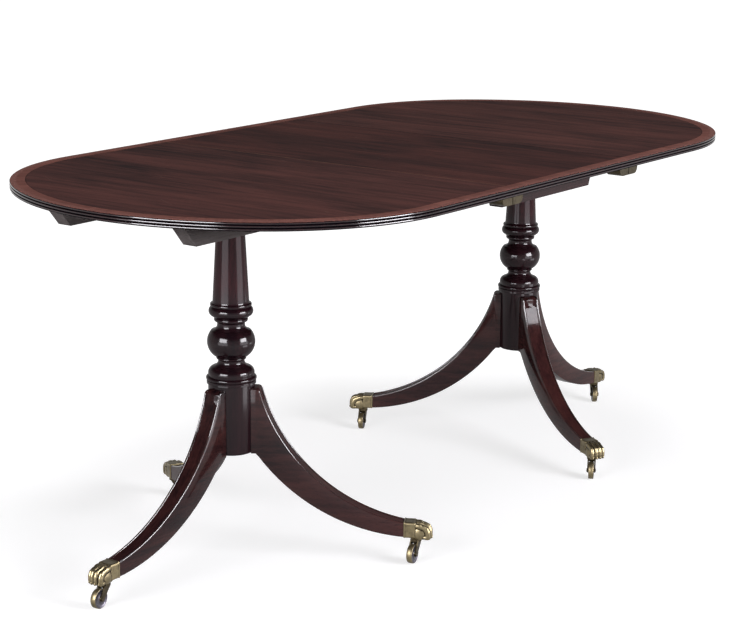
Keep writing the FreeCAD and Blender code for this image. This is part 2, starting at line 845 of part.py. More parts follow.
def paw(side, number, angle):
    """A brass cap in the shape of a paw, over the leg's toe, with the castor's pin in its sole."""
    body = new_body(f"{side}_paw_{number}")
    start = s.leg_end + s.glue_gap
    length = paw_tip - start
    outline = [(start + length * along, paw_bottom + s.paw_height * up) for along, up in PAW_SHARES]
    pad(body, draw(new_sketch(body, "XZ_Plane"), outline), s.paw_width, both_ways=True)
    half = s.paw_width / 2 + s.cuff_proud
    low = leg_end_bottom - s.cuff_proud
    high = paw_top + s.cuff_proud
    cuff = draw(new_sketch(body, "YZ_Plane", start), rectangle(-half, low, half, high))
    pad(body, cuff, s.cuff_width)
    socket = draw(new_sketch(body, "YZ_Plane", start), toe_section(s.joint_gap))
    pocket(body, socket, toe_tenon_length, backwards=True)
    sole = new_sketch(body, "XY_Plane", paw_bottom)
    bore = draw_circle(sole, swivel_place, zero, s.pin_radius + s.running_gap)
    pocket(body, bore, pin_length, backwards=True)
    return keep(pedestal_place(body, side, angle))


# Castors, drawn about the swivel pin with the wheel trailing along +X

def castor_place(body, side, angle, trail_angle):
    """Stands a castor piece under its leg, turned the way its wheel trails."""
    sign = math.cos(math.radians(HALF_TURN[side]))
    along = math.radians(HALF_TURN[side] + angle)
    x = column_place * sign + swivel_place * math.cos(along)
    y = swivel_place * math.sin(along)
    return place(body, trail_angle, x, y)


def castor_horn(side, number, angle, trail_angle):
    """Swivel pin, crown, the two arms that carry the axle, and a web between them under the crown."""
    body = new_body(f"{side}_castor_horn_{number}")
    low = fork_top - s.crown_thick
    crown = draw_circle(new_sketch(body, "XY_Plane", low), zero, zero, s.crown_radius)
    pad(body, crown, s.crown_thick)
    pin_top = paw_bottom + pin_length - s.swivel_gap
    pin = draw_circle(new_sketch(body, "XY_Plane", fork_top), zero, zero, s.pin_radius)
    pad(body, pin, pin_top - fork_top)
    waist = s.crown_radius * CROWN_WAIST_SHARE
    diagonal = s.arm_boss_radius * DIAGONAL_SHARE
    arm = [
        (-waist, fork_top),
        (-waist, low),
        (s.castor_trail - diagonal, s.wheel_radius - diagonal),
        (s.castor_trail + diagonal, s.wheel_radius + diagonal),
        (waist, fork_top),
    ]
    inner = s.wheel_width / 2 + s.arm_gap
    for offset in (inner, -axle_half_length):
        pad(body, draw(new_sketch(body, "XZ_Plane", offset), arm), s.arm_thick)
        face = new_sketch(body, "XZ_Plane", offset)
        boss = draw_circle(face, s.castor_trail, s.wheel_radius, s.arm_boss_radius)
        pad(body, boss, s.arm_thick)
    web_front = (s.castor_trail - diagonal + waist) * HORN_WEB_SHARE - waist
    web_low = low - (low - s.wheel_radius + diagonal) * HORN_WEB_SHARE
    web = [(-waist, low), (web_front, web_low), (web_front + s.arm_thick, web_low), (waist, low)]
    pad(body, draw(new_sketch(body, "XZ_Plane"), web), inner * 2, both_ways=True)
    middle = new_sketch(body, "XZ_Plane")
    bore = draw_circle(middle, s.castor_trail, s.wheel_radius, s.axle_radius + s.running_gap)
    pocket(body, bore, axle_half_length * 2 + s.overrun, both_ways=True)
    return keep(castor_place(body, side, angle, trail_angle))


def wheel_spin_shape(body, profile):
    """Turns a profile (radius, place along the axle) about the axle and stands it at the axle's place."""
    sketch = draw(new_sketch(body, "XY_Plane", s.wheel_radius), profile)
    bind(sketch, "AttachmentOffset.Base.x", s.castor_trail)
    revolve(body, sketch)


def castor_wheel(side, number, angle, trail_angle):
    body = new_body(f"{side}_castor_wheel_{number}")
    half = s.wheel_width / 2
    bore = s.axle_radius + s.running_gap
    rim = s.wheel_radius - s.wheel_edge
    wheel_spin_shape(body, [
        (bore, -half),
        (rim, -half),
        (s.wheel_radius, s.wheel_edge - half),
        (s.wheel_radius, half - s.wheel_edge),
        (rim, half),
        (bore, half),
    ])
    return keep(castor_place(body, side, angle, trail_angle))


def castor_axle(side, number, angle, trail_angle):
    body = new_body(f"{side}_castor_axle_{number}")
    shank = axle_half_length + s.running_gap
    head = shank + s.axle_head_thick
    wheel_spin_shape(body, [
        (zero, -head),
        (s.axle_head_radius, -head),
        (s.axle_head_radius, -shank),
        (s.axle_radius, -shank),
        (s.axle_radius, shank),
        (s.axle_head_radius, shank),
        (s.axle_head_radius, head),
        (zero, head),
    ])
    return keep(castor_place(body, side, angle, trail_angle))


# The whole table

leaf_board()
leaf_crossbands()
leaf_reeded_edges()
leaf_bearers()
screws("leaf_bearer_screws", leaf_screw_places(), leaf_bearer_place, s.leaf_bearer_depth)
leaf_forks()
for side, turn in HALF_TURN.items():
    end_board(side)
    end_crossband(side)
    end_reeded_edge(side)
    end_bearer(side, "near")
    end_bearer(side, "far")
    screws(f"{side}_bearer_screws", bearer_screw_places(), s.bearer_place, s.bearer_depth, turn)
    fork_sockets(side)
    tilt_block(side)
    pivot_rod(side)
    catch_case(side)
    catch_bolt(side)
    column(side)
    for number, angle in enumerate(LEG_ANGLES, 1):
        trail_angle = CASTOR_ANGLES[side][number - 1]
        leg(side, number, angle)
        paw(side, number, angle)
        castor_horn(side, number, angle, trail_angle)
        castor_wheel(side, number, angle, trail_angle)
        castor_axle(side, number, angle, trail_angle)
doc.recompute()

for thing in doc.Objects:
    if "Invalid" in thing.State or "Error" in thing.State:
        raise ValueError(f"{thing.Label} failed: {thing.State}")
for node in nodes:
    if node.Shape.isNull() or not node.Shape.isValid() or not node.Shape.Solids:
        raise ValueError(f"{node.Label} has no valid solid")

os.makedirs("parts", exist_ok=True)
for node in nodes:
    node.Shape.exportStep(f"parts/{node.Label}.step")
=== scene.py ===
"""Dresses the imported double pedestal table: finishes for its solids, and carved, cast and inlaid pieces."""
import math

import bmesh
import bpy
from bpy.props import FloatProperty, FloatVectorProperty, IntProperty, PointerProperty
from mathutils import Matrix, Vector


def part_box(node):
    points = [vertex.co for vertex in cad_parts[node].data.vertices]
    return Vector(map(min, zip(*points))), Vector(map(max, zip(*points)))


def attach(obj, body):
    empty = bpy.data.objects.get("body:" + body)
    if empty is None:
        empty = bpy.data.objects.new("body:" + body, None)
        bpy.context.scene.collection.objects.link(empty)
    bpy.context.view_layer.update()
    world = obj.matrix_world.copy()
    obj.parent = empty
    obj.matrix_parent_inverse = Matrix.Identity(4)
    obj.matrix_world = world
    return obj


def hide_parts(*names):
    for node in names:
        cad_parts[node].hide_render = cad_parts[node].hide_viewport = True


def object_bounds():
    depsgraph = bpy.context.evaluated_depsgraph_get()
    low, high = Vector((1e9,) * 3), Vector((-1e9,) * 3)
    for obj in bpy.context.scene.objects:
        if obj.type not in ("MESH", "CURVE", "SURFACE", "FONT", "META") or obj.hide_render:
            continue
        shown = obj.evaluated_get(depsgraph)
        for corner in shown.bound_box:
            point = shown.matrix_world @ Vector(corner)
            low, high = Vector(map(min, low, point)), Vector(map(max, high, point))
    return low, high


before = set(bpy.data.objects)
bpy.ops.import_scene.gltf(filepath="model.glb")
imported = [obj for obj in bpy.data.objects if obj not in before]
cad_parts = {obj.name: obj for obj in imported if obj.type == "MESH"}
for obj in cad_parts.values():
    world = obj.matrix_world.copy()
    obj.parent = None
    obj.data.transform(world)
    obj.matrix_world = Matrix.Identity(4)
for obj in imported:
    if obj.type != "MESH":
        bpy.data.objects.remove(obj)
CAD_LOW, CAD_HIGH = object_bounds()

bl_info = {
    "name": "Double pedestal dining table",
    "version": (1, 0, 0),
    "blender": (4, 5, 0),
    "location": "View3D > Sidebar > Table",
    "description": "Finishes and carved, cast and inlaid pieces of a double pedestal dining table",
    "category": "Add Mesh",
}

SIDES = ("left", "right")
FEET = [(side, number) for side in SIDES for number in (1, 2, 3)]
WHITE = (1.0, 1.0, 1.0, 1.0)
# Vertices nearer than this are one, in metres
MERGE = 1e-6
# The top's coat of polish: its share and its roughness
TOP_POLISH, TOP_POLISH_ROUGH = 0.05, 0.32
# Plan angles in degrees: of the three legs about each column, and of the trailing wheels as the castors stand
LEG_ANGLES = {"right": (0.0, 120.0, -120.0), "left": (180.0, 300.0, 60.0)}
TRAIL_ANGLES = {"right": (218.0, 206.0, 208.0), "left": (186.0, 193.0, 350.0)}


# Sizes and colours

def measure(name, description, default):
    return FloatProperty(name=name, description=description, default=default, unit="LENGTH")


def colour(name, description, default):
    return FloatVectorProperty(
        name=name, description=description, default=default, size=4, min=0.0, max=1.0, subtype="COLOR")


def brightness(name, description, default):
    return FloatProperty(name=name, description=description, default=default, min=0.0)


class TableSizes(bpy.types.PropertyGroup):
    """Sizes of the pieces that are modelled here, in metres."""
    column_place: measure("Column place", "Distance of each column from the middle of the table", 0.506)
    band_width: measure("Crossband width", "Width of the veneer band round the top", 0.018)
    band_thick: measure("Crossband thickness", "Thickness of the band in its rebate", 0.0012)
    bead_radius: measure("Leg bead", "Radius of the beads along the upper edges of the legs", 0.0021)
    leg_sunk: measure("Sunk face", "Depth of the leg's upper face between its beads", 0.0016)
    paw_toes: IntProperty(
        name="Toes", description="Number of toes on each paw", default=4, min=3, max=5)
    wheel_radius: measure("Wheel radius", "Radius of the castor wheels", 0.0185)
    wheel_width: measure("Wheel width", "Width of the castor wheels", 0.011)
    castor_trail: measure("Castor trail", "Distance of a wheel's axle behind its swivel pin", 0.018)
    swivel_place: measure("Swivel place", "Distance of a castor's pin from its column's axis", 0.354)


class TableColours(bpy.types.PropertyGroup):
    """Colours of the finishes, in linear light."""
    top_dark: colour("Top, dark", "Dark streaks of the polished top", (0.018, 0.0115, 0.0125, 1.0))
    top_light: colour("Top, light", "Light streaks of the polished top", (0.155, 0.056, 0.047, 1.0))
    band_dark: colour("Crossband, dark", "Dark streaks of the crossband", (0.118, 0.043, 0.036, 1.0))
    band_light: colour("Crossband, light", "Light streaks of the crossband", (0.360, 0.140, 0.108, 1.0))
    # The dark pedestal colour is also the painted shade between the reeds of the top's edge and on the lower
    # turnings of the columns
    turned_dark: colour("Pedestal, dark", "Dark streaks of columns and legs", (0.0045, 0.0026, 0.0042, 1.0))
    turned_light: colour("Pedestal, light", "Light streaks of columns and legs", (0.044, 0.0172, 0.0180, 1.0))
    raw_dark: colour("Under frame, dark", "Dark streaks of unpolished wood", (0.073, 0.063, 0.061, 1.0))
    raw_light: colour("Under frame, light", "Light streaks of unpolished wood", (0.172, 0.151, 0.145, 1.0))
    brass_bright: colour("Brass, bright", "Rubbed parts of the cast brass", (0.150, 0.123, 0.071, 1.0))
    brass_dull: colour("Brass, dull", "Tarnished parts of the cast brass", (0.013, 0.0102, 0.0072, 1.0))
    line: colour("Worn seam", "Pale line where the left seam is worn", (0.25, 0.12, 0.075, 1.0))


class StageSettings(bpy.types.PropertyGroup):
    """Camera and light."""
    eye: FloatVectorProperty(
        name="Camera place", description="Where the camera stands",
        default=(-3.3791, -2.4293, 1.3664), subtype="XYZ", unit="LENGTH")
    yaw: FloatProperty(
        name="Yaw", description="Turn of the view from +Y towards +X",
        default=math.radians(53.726), subtype="ANGLE")
    pitch: FloatProperty(
        name="Pitch", description="Tilt of the view below the horizon",
        default=math.radians(13.567), subtype="ANGLE")
    roll: FloatProperty(
        name="Roll", description="Turn of the camera about its view",
        default=math.radians(0.5), subtype="ANGLE")
    lens: FloatProperty(
        name="Lens", description="Focal length on a 36 mm wide sensor", default=100.5, unit="CAMERA")
    end_power: FloatProperty(
        name="End light", description="Power of the soft box off the left end",
        default=72.0, unit="POWER")
    front_power: FloatProperty(
        name="Front light", description="Power of the soft box off the near side",
        default=132.0, unit="POWER")
    end_glow: brightness("End soft box", "Brightness of the end soft box as polish mirrors it", 40.0)
    front_glow: brightness("Front soft box", "Brightness of the front soft box as polish mirrors it", 52.0)
    panel_glow: brightness("Low panels", "Brightness of the panels under them as polish mirrors them", 6.0)
    card_glow: brightness("Low cards", "Brightness of the cards by the pedestals as polish mirrors them", 7.0)
    sky: brightness("Surround", "Level of the light from all round", 0.22)
    ceiling: brightness("Ceiling", "Level of the surround overhead, above the white backdrop", 0.08)


# Node helpers

def node(tree, kind, inputs=None, **settings):
    """A new node with its settings; an input is given a value or the socket that feeds it."""
    made = tree.nodes.new(kind)
    for key, value in settings.items():
        setattr(made, key, value)
    for key, value in (inputs or {}).items():
        if isinstance(value, bpy.types.NodeSocket):
            tree.links.new(value, made.inputs[key])
        else:
            made.inputs[key].default_value = value
    return made


def maths(tree, operation, first, second=0.0, clamp=False):
    made = node(tree, "ShaderNodeMath", {0: first, 1: second}, operation=operation, use_clamp=clamp)
    return made.outputs[0]


def blend(tree, factor, first, second):
    made = node(tree, "ShaderNodeMix", {0: factor, 6: first, 7: second}, data_type="RGBA")
    return made.outputs[2]


def spread(tree, value, low, high, to_low=0.0, to_high=1.0):
    made = node(tree, "ShaderNodeMapRange", {0: value, 1: low, 2: high, 3: to_low, 4: to_high})
    return made.outputs[0]


def stretched(tree, vector, scale, detail, distortion=0.0, rough=0.55):
    """Noise on coordinates that are scaled along each axis."""
    placed = node(tree, "ShaderNodeMapping", {"Vector": vector, "Scale": scale})
    made = node(tree, "ShaderNodeTexNoise", {
        "Vector": placed.outputs[0], "Scale": 1.0, "Detail": detail,
        "Roughness": rough, "Distortion": distortion})
    return made.outputs["Fac"]


def new_group(name, inputs, outputs):
    """An empty shader node group with its sockets; gives the tree, its inputs by name and its output node."""
    tree = bpy.data.node_groups.new(name, "ShaderNodeTree")
    for label, kind in inputs.items():
        tree.interface.new_socket(label, in_out="INPUT", socket_type="NodeSocket" + kind)
    for label, kind in outputs.items():
        tree.interface.new_socket(label, in_out="OUTPUT", socket_type="NodeSocket" + kind)
    start = tree.nodes.new("NodeGroupInput")
    return tree, start.outputs, tree.nodes.new("NodeGroupOutput")


def figure_group():
    """Wood figure: X across the grain, Y along it. Clouds, streaks, fine lines and open pores."""
    made = bpy.data.node_groups.get("Wood figure")
    if made:
        return made
    tree, given, end = new_group(
        "Wood figure",
        {"Vector": "Vector", "Dark": "Color", "Light": "Color", "Pores": "Float"},
        {"Color": "Color", "Roughness": "Float", "Height": "Float"})
    vector = given["Vector"]
    cloud = spread(tree, stretched(tree, vector, (7.0, 1.3, 7.0), 4.0, 0.7), 0.36, 0.64)
    streak = spread(tree, stretched(tree, vector, (62.0, 2.4, 62.0), 6.0, 0.5, 0.68), 0.37, 0.63)
    fine = spread(tree, stretched(tree, vector, (330.0, 9.0, 330.0), 3.0), 0.32, 0.68)
    pore = spread(tree, stretched(tree, vector, (1700.0, 75.0, 1700.0), 1.0), 0.60, 0.74)
    tone = maths(tree, "ADD", maths(tree, "MULTIPLY", cloud, 0.40), maths(tree, "MULTIPLY", streak, 0.38))
    tone = maths(tree, "ADD", tone, maths(tree, "MULTIPLY", fine, 0.22), clamp=True)
    wood = blend(tree, tone, given["Dark"], given["Light"])
    open_pore = maths(tree, "MULTIPLY", pore, given["Pores"])
    tree.links.new(blend(tree, open_pore, wood, given["Dark"]), end.inputs["Color"])
    rough = spread(tree, streak, 0.0, 1.0, 0.34, 0.24)
    rough = maths(tree, "ADD", rough, maths(tree, "MULTIPLY", open_pore, 0.2))
    tree.links.new(rough, end.inputs["Roughness"])
    height = maths(tree, "SUBTRACT", maths(tree, "MULTIPLY", fine, 0.3), open_pore)
    tree.links.new(height, end.inputs["Height"])
    return tree


def wear_group():
    """Small rubs and scratches: two sets of hair lines and a soft cloud, as masks."""
    made = bpy.data.node_groups.get("Rubbed polish")
    if made:
        return made
    tree, given, end = new_group(
        "Rubbed polish", {"Vector": "Vector"}, {"Scratches": "Float", "Haze": "Float"})
    lines = []
    for turn, scale in ((0.5, (520.0, 9.0, 9.0)), (-0.9, (610.0, 13.0, 13.0))):
        turned = node(tree, "ShaderNodeMapping", {"Vector": given["Vector"], "Rotation": (0.0, 0.0, turn)})
        lines.append(spread(tree, stretched(tree, turned.outputs[0], scale, 1.0), 0.735, 0.78))
    gate = spread(tree, stretched(tree, given["Vector"], (11.0, 11.0, 11.0), 2.0), 0.50, 0.62)
    scratches = maths(tree, "MULTIPLY", maths(tree, "MAXIMUM", lines[0], lines[1]), gate)
    tree.links.new(scratches, end.inputs["Scratches"])
    haze = spread(tree, stretched(tree, given["Vector"], (5.0, 5.0, 5.0), 4.0), 0.35, 0.70)
    tree.links.new(haze, end.inputs["Haze"])
    return tree


def patina_group():
    """Cast brass: bright where it is rubbed, brown and green-grey in its hollows."""
    made = bpy.data.node_groups.get("Brass patina")
    if made:
        return made
    tree, given, end = new_group(
        "Brass patina",
        {"Vector": "Vector", "Bright": "Color", "Dull": "Color", "Hollow": "Float"},
        {"Color": "Color", "Roughness": "Float", "Height": "Float"})
    broad = spread(tree, stretched(tree, given["Vector"], (95.0, 95.0, 95.0), 4.0, 0.4), 0.34, 0.68)
    grain = stretched(tree, given["Vector"], (900.0, 900.0, 900.0), 3.0)
    in_hollows = maths(tree, "MULTIPLY", given["Hollow"], 3.2)
    dull = maths(tree, "ADD", maths(tree, "MULTIPLY", broad, 0.66), in_hollows, clamp=True)
    tree.links.new(blend(tree, dull, given["Bright"], given["Dull"]), end.inputs["Color"])
    rough = maths(tree, "ADD", spread(tree, dull, 0.0, 1.0, 0.36, 0.60), maths(tree, "MULTIPLY", grain, 0.06))
    tree.links.new(rough, end.inputs["Roughness"])
    tree.links.new(maths(tree, "ADD", grain, maths(tree, "MULTIPLY", broad, 0.6)), end.inputs["Height"])
    return tree


def new_material(name):
    made = bpy.data.materials.new(name)
    made.use_nodes = True
    tree = made.node_tree
    return made, tree, tree.nodes["Principled BSDF"]


def polished(shader, share, rough):
    """Leaves the shine to a coat of polish."""
    shader.inputs["Specular IOR Level"].default_value = 0.0
    shader.inputs["Coat Weight"].default_value = share
    shader.inputs["Coat Roughness"].default_value = rough


def surfaced(tree, shader, tone, rough, height, strength, distance):
    """Feeds a shader its colour, its roughness and, as a bump, its relief."""
    relief = node(tree, "ShaderNodeBump", {"Height": height, "Strength": strength, "Distance": distance})
    tree.links.new(tone, shader.inputs["Base Color"])
    tree.links.new(rough, shader.inputs["Roughness"])
    tree.links.new(relief.outputs[0], shader.inputs["Normal"])


def tinted(tone, shares):
    """A colour with each channel scaled by its own share."""
    return [value * share for value, share in zip(tone, shares)] + [1.0]


def wood(name, dark, light, turn=(0.0, 0.0, 0.0), shift=(0.0, 0.0, 0.0), pores=0.6, attribute=None,
         polish=0.3, polish_rough=0.12, bump=0.00012, worn=None, seam=None, short=1.0, crests=None):
    """A wood finish on Object coordinates, or on a piece's own attribute, with Y turned along the grain.

    worn is the colour of its scratches, with their share as the fourth value. seam is a line along a joint:
    its distance from the middle of the table, its half width, its share and its colour. short shortens the
    figure along the grain. crests gives a mask of the places that keep their polish, and the tone with that
    mask applied; on the reeded edge and the columns that tone carries painted shade.
    """
    least_polish = 0.06
    haze_rough = 0.10
    made, tree, shader = new_material(name)
    if attribute:
        place = node(tree, "ShaderNodeAttribute", attribute_name=attribute).outputs["Vector"]
    else:
        place = node(tree, "ShaderNodeTexCoord").outputs["Object"]
    turned = node(tree, "ShaderNodeMapping", {
        "Vector": place, "Rotation": turn, "Location": shift, "Scale": (1.0, short, 1.0)}).outputs[0]
    figure = node(tree, "ShaderNodeGroup", node_tree=figure_group(), inputs={
        "Vector": turned, "Dark": dark, "Light": light, "Pores": pores}).outputs
    tone, rough = figure["Color"], figure["Roughness"]
    if worn:
        rubbed = node(tree, "ShaderNodeGroup", node_tree=wear_group(), inputs={"Vector": place}).outputs
        mask = maths(tree, "MULTIPLY", rubbed["Scratches"], worn[3])
        tone = blend(tree, mask, tone, worn)
        rough = maths(tree, "ADD", rough, maths(tree, "MULTIPLY", rubbed["Haze"], haze_rough))
    if seam:
        joint, half_width, share, joint_tone = seam
        across = node(tree, "ShaderNodeSeparateXYZ", {0: place}).outputs[0]
        distance = maths(tree, "ABSOLUTE", maths(tree, "SUBTRACT", maths(tree, "ABSOLUTE", across), joint))
        broken = stretched(tree, place, (3.0, 34.0, 3.0), 3.0)
        reach = maths(tree, "MULTIPLY", broken, half_width * 2.0)
        mask = maths(tree, "LESS_THAN", distance, reach)
        tone = blend(tree, maths(tree, "MULTIPLY", mask, share), tone, joint_tone)
    polished(shader, polish, polish_rough)
    if crests:
        crest, tone = crests(tree, tone)
        tree.links.new(spread(tree, crest, 0.0, 1.0, least_polish, polish), shader.inputs["Coat Weight"])
    surfaced(tree, shader, tone, rough, figure["Height"], 0.5, bump)
    return made


def brass(name, bright, dull, attribute=None, bump=0.00025):
    """A cast metal finish; the attribute, where a piece has one, marks its hollows."""
    made, tree, shader = new_material(name)
    place = node(tree, "ShaderNodeTexCoord").outputs["Object"]
    hollow = 0.0
    if attribute:
        hollow = node(tree, "ShaderNodeAttribute", attribute_name=attribute).outputs["Fac"]
    patina = node(tree, "ShaderNodeGroup", node_tree=patina_group(), inputs={
        "Vector": place, "Bright": bright, "Dull": dull, "Hollow": hollow}).outputs
    surfaced(tree, shader, patina["Color"], patina["Roughness"], patina["Height"], 0.4, bump)
    shader.inputs["Metallic"].default_value = 1.0
    return made


# Piece helpers

def finish_piece(bm, name, body, nodes, material, smooth=True, place=None):
    """Turns a bmesh into a piece at its place: its finish, its body and the nodes it stands for."""
    if place is not None:
        bmesh.ops.transform(bm, matrix=place, verts=bm.verts[:])
    mesh = bpy.data.meshes.new(name)
    for face in bm.faces:
        face.smooth = smooth
    bm.to_mesh(mesh)
    bm.free()
    piece = bpy.data.objects.new(name, mesh)
    bpy.context.scene.collection.objects.link(piece)
    for each in material if isinstance(material, (list, tuple)) else [material]:
        mesh.materials.append(each)
    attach(piece, body)
    if nodes:
        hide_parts(*nodes)
    return piece


def clothe(names, material):
    """Gives CAD nodes a finish in place of the plain one they came with."""
    for name in names:
        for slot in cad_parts[name].material_slots:
            slot.material = material


def drawn(bm, row, move, steps):
    """Draws a row of vertices and edges along in equal steps; gives the row at the end."""
    for _ in range(steps):
        edges = [g for g in row if isinstance(g, bmesh.types.BMEdge)]
        row = bmesh.ops.extrude_edge_only(bm, edges=edges)["geom"]
        row = [g for g in row if not isinstance(g, bmesh.types.BMFace)]
        verts = [g for g in row if isinstance(g, bmesh.types.BMVert)]
        bmesh.ops.translate(bm, verts=verts, vec=move / steps)
    return row


def spun(section, axis, steps, closed=False):
    """A bmesh of a section's points, open or closed, spun once round an axis through the origin."""
    bm = bmesh.new()
    verts = [bm.verts.new(point) for point in section]
    ends = verts[1:] + verts[:1] if closed else verts[1:]
    edges = [bm.edges.new(pair) for pair in zip(verts, ends)]
    bmesh.ops.spin(bm, geom=verts + edges, cent=(0, 0, 0), axis=axis, angle=2 * math.pi, steps=steps,
                   use_merge=True)
    bmesh.ops.remove_doubles(bm, verts=bm.verts[:], dist=MERGE)
    bmesh.ops.recalc_face_normals(bm, faces=bm.faces[:])
    return bm


def both(*names):
    return [f"{side}_{name}" for side in SIDES for name in names]


def leg_frame(side, number):
    """From a leg's own frame, X outwards from the column's axis, to its place."""
    sign = 1.0 if side == "right" else -1.0
    place = bpy.context.scene.table_sizes.column_place * sign
    turn = math.radians(LEG_ANGLES[side][number - 1])
    return Matrix.Translation((place, 0.0, 0.0)) @ Matrix.Rotation(turn, 4, "Z")


def castor_frame(side, number):
    """From a castor's own frame, X along its trail from the swivel pin, to its place."""
    pin = leg_frame(side, number) @ Vector((bpy.context.scene.table_sizes.swivel_place, 0.0, 0.0))
    turn = math.radians(TRAIL_ANGLES[side][number - 1])
    return Matrix.Translation(pin) @ Matrix.Rotation(turn, 4, "Z")


# Pieces

class TABLE_OT_top_boards(bpy.types.Operator):
    """Polished mahogany on the two ends and the leaf"""
    bl_idname = "table.top_boards"
    bl_label = "Top boards"

    def execute(self, context):
        c = context.scene.table_colours
        joint = 0.2154
        shared = {"polish": TOP_POLISH, "polish_rough": TOP_POLISH_ROUGH, "worn": (0.30, 0.20, 0.16, 0.35),
                  "short": 1.5}
        left = wood("left_end_mahogany", c.top_dark, c.top_light, shift=(3.1, 0.7, 0.0),
                    seam=(joint, 0.0024, 0.60, c.line), **shared)
        leaf = wood("leaf_mahogany", c.top_dark, tinted(c.top_light, (0.88, 0.82, 0.80)),
                    shift=(8.4, 2.2, 0.0), **shared)
        right = wood("right_end_mahogany", c.top_dark, tinted(c.top_light, (1.10, 1.12, 1.10)),
                     shift=(5.7, 5.1, 0.0), seam=(joint, 0.0030, 0.85, c.turned_dark), **shared)
        clothe(["left_end_board"], left)
        clothe(["leaf_board"], leaf)
        clothe(["right_end_board"], right)
        edge = wood("reeded_edge_mahogany", c.turned_dark, c.turned_light, turn=(0.0, 0.0, math.pi / 2),
                    polish=0.9, polish_rough=0.10, crests=self.reed_crests)
        clothe(both("end_reeded_edge") + ["leaf_reeded_edges"], edge)
        return {"FINISHED"}

    def reed_crests(self, tree, tone):
        """Polish on the crests of the reeds, painted shade between them that leaves the crests as painted
        highlight lines, and the band's colour on the flat top.
        """
        c = bpy.context.scene.table_colours
        low, high = [corner.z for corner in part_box("right_end_board")]
        place = node(tree, "ShaderNodeTexCoord").outputs["Object"]
        rise = node(tree, "ShaderNodeSeparateXYZ", {0: place}).outputs[2]
        reeds, crest_at, skim = 3, 0.60, 0.0004
        step = maths(tree, "DIVIDE", maths(tree, "SUBTRACT", rise, low), (high - low) / reeds)
        off_crest = maths(tree, "SUBTRACT", maths(tree, "FRACT", step), crest_at)
        crest = spread(tree, maths(tree, "ABSOLUTE", off_crest), 0.14, 0.26, 1.0, 0.0)
        flat = maths(tree, "GREATER_THAN", rise, high - skim)
        cloud = stretched(tree, place, (160.0, 160.0, 160.0), 3.0)
        # Painted shade: between the crests the wood is darkened to the dark pedestal colour, leaving the
        # crests as painted highlight lines
        tone = blend(tree, crest, c.turned_dark, tone)
        return crest, blend(tree, flat, tone, blend(tree, cloud, c.band_dark, c.band_light))


class TABLE_OT_crossbands(bpy.types.Operator):
    """Crossbanded veneer round the ends and along the leaf, with its grain across the band"""
    bl_idname = "table.crossbands"
    bl_label = "Crossbands"

    def band(self, outer, start, bend, end):
        """An end's band from seam to seam: an edge across it, drawn along and spun round the bends."""
        s = bpy.context.scene.table_sizes
        bm = bmesh.new()
        bm.verts.layers.float_vector.new("band")
        row = [bm.verts.new((start, y, CAD_HIGH.z)) for y in (outer - s.band_width, outer)]
        row.append(bm.edges.new(row))
        row = drawn(bm, row, Vector((bend[0] - start, 0.0, 0.0)), 6)
        turn = math.atan2(bend[1], bend[0] - end)
        for centre, angle, steps in (
                ((bend[0], bend[1], 0.0), math.pi / 2 - turn, 20),
                ((end, 0.0, 0.0), 2 * turn, 34),
                ((bend[0], -bend[1], 0.0), math.pi / 2 - turn, 20)):
            row = bmesh.ops.spin(
                bm, geom=row, cent=centre, axis=(0.0, 0.0, 1.0), angle=-angle, steps=steps,
                use_merge=False)["geom_last"]
        drawn(bm, row, Vector((start - bend[0], 0.0, 0.0)), 6)
        return bm

    def mark(self, bm, outer, start, bend, end):
        """Writes how far along and how far across the band each vertex lies."""
        s = bpy.context.scene.table_sizes
        layer = bm.verts.layers.float_vector["band"]
        inner = outer - s.band_width
        turn = math.atan2(bend[1], bend[0] - end)
        corner, straight = outer - bend[1], bend[0] - start
        bow = corner + math.hypot(bend[0] - end, bend[1])
        for vert in bm.verts:
            x, y = vert.co.x, abs(vert.co.y)
            along, across = x - start, y - inner
            if x > bend[0] + MERGE:
                angle = math.atan2(y - bend[1], x - bend[0])
                across = math.hypot(y - bend[1], x - bend[0]) - corner + s.band_width
                along = straight + corner * (math.pi / 2 - angle)
                if math.atan2(y, x - end) < turn:
                    across = math.hypot(y, x - end) - bow + s.band_width
                    along = straight + corner * (math.pi / 2 - turn) + bow * (turn - math.atan2(y, x - end))
            vert[layer] = (math.copysign(along, vert.co.y), across, 0.0)

    def close(self, bm):
        s = bpy.context.scene.table_sizes
        made = bmesh.ops.extrude_face_region(bm, geom=bm.faces[:])["geom"]
        verts = [g for g in made if isinstance(g, bmesh.types.BMVert)]
        bmesh.ops.translate(bm, verts=verts, vec=(0.0, 0.0, -s.band_thick))
        bmesh.ops.recalc_face_normals(bm, faces=bm.faces[:])

    def execute(self, context):
        c = context.scene.table_colours
        s = context.scene.table_sizes
        veneer = band_material(c)
        outer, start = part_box("right_end_board")[1].y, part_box("right_end_board")[0].x
        # Centres of the arcs round an end: of the bend at its corner, and of the bow between the two bends
        bend, end = (0.474, 0.070), 0.3928
        for side, body in (("right", "right_top"), ("left", "left_top")):
            bm = self.band(outer, start, bend, end)
            self.mark(bm, outer, start, bend, end)
            self.close(bm)
            half_turn = Matrix.Rotation(math.pi, 4, "Z") if side == "left" else None
            finish_piece(bm, f"{side}_veneer_band", body, [f"{side}_end_crossband"], veneer,
                         smooth=False, place=half_turn)
        bm = bmesh.new()
        low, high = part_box("leaf_crossbands")
        far_apart = 3.0
        layer = bm.verts.layers.float_vector.new("band")
        for sign in (1.0, -1.0):
            row = [bm.verts.new((low.x, y * sign, high.z)) for y in (high.y - s.band_width, high.y)]
            row.append(bm.edges.new(row))
            drawn(bm, row, Vector((high.x - low.x, 0.0, 0.0)), 4)
        for vert in bm.verts:
            along = vert.co.x + math.copysign(far_apart, vert.co.y)
            vert[layer] = (along, abs(vert.co.y) - high.y + s.band_width, 0.0)
        self.close(bm)
        finish_piece(bm, "leaf_veneer_bands", "leaf", ["leaf_crossbands"], veneer, smooth=False)
        return {"FINISHED"}


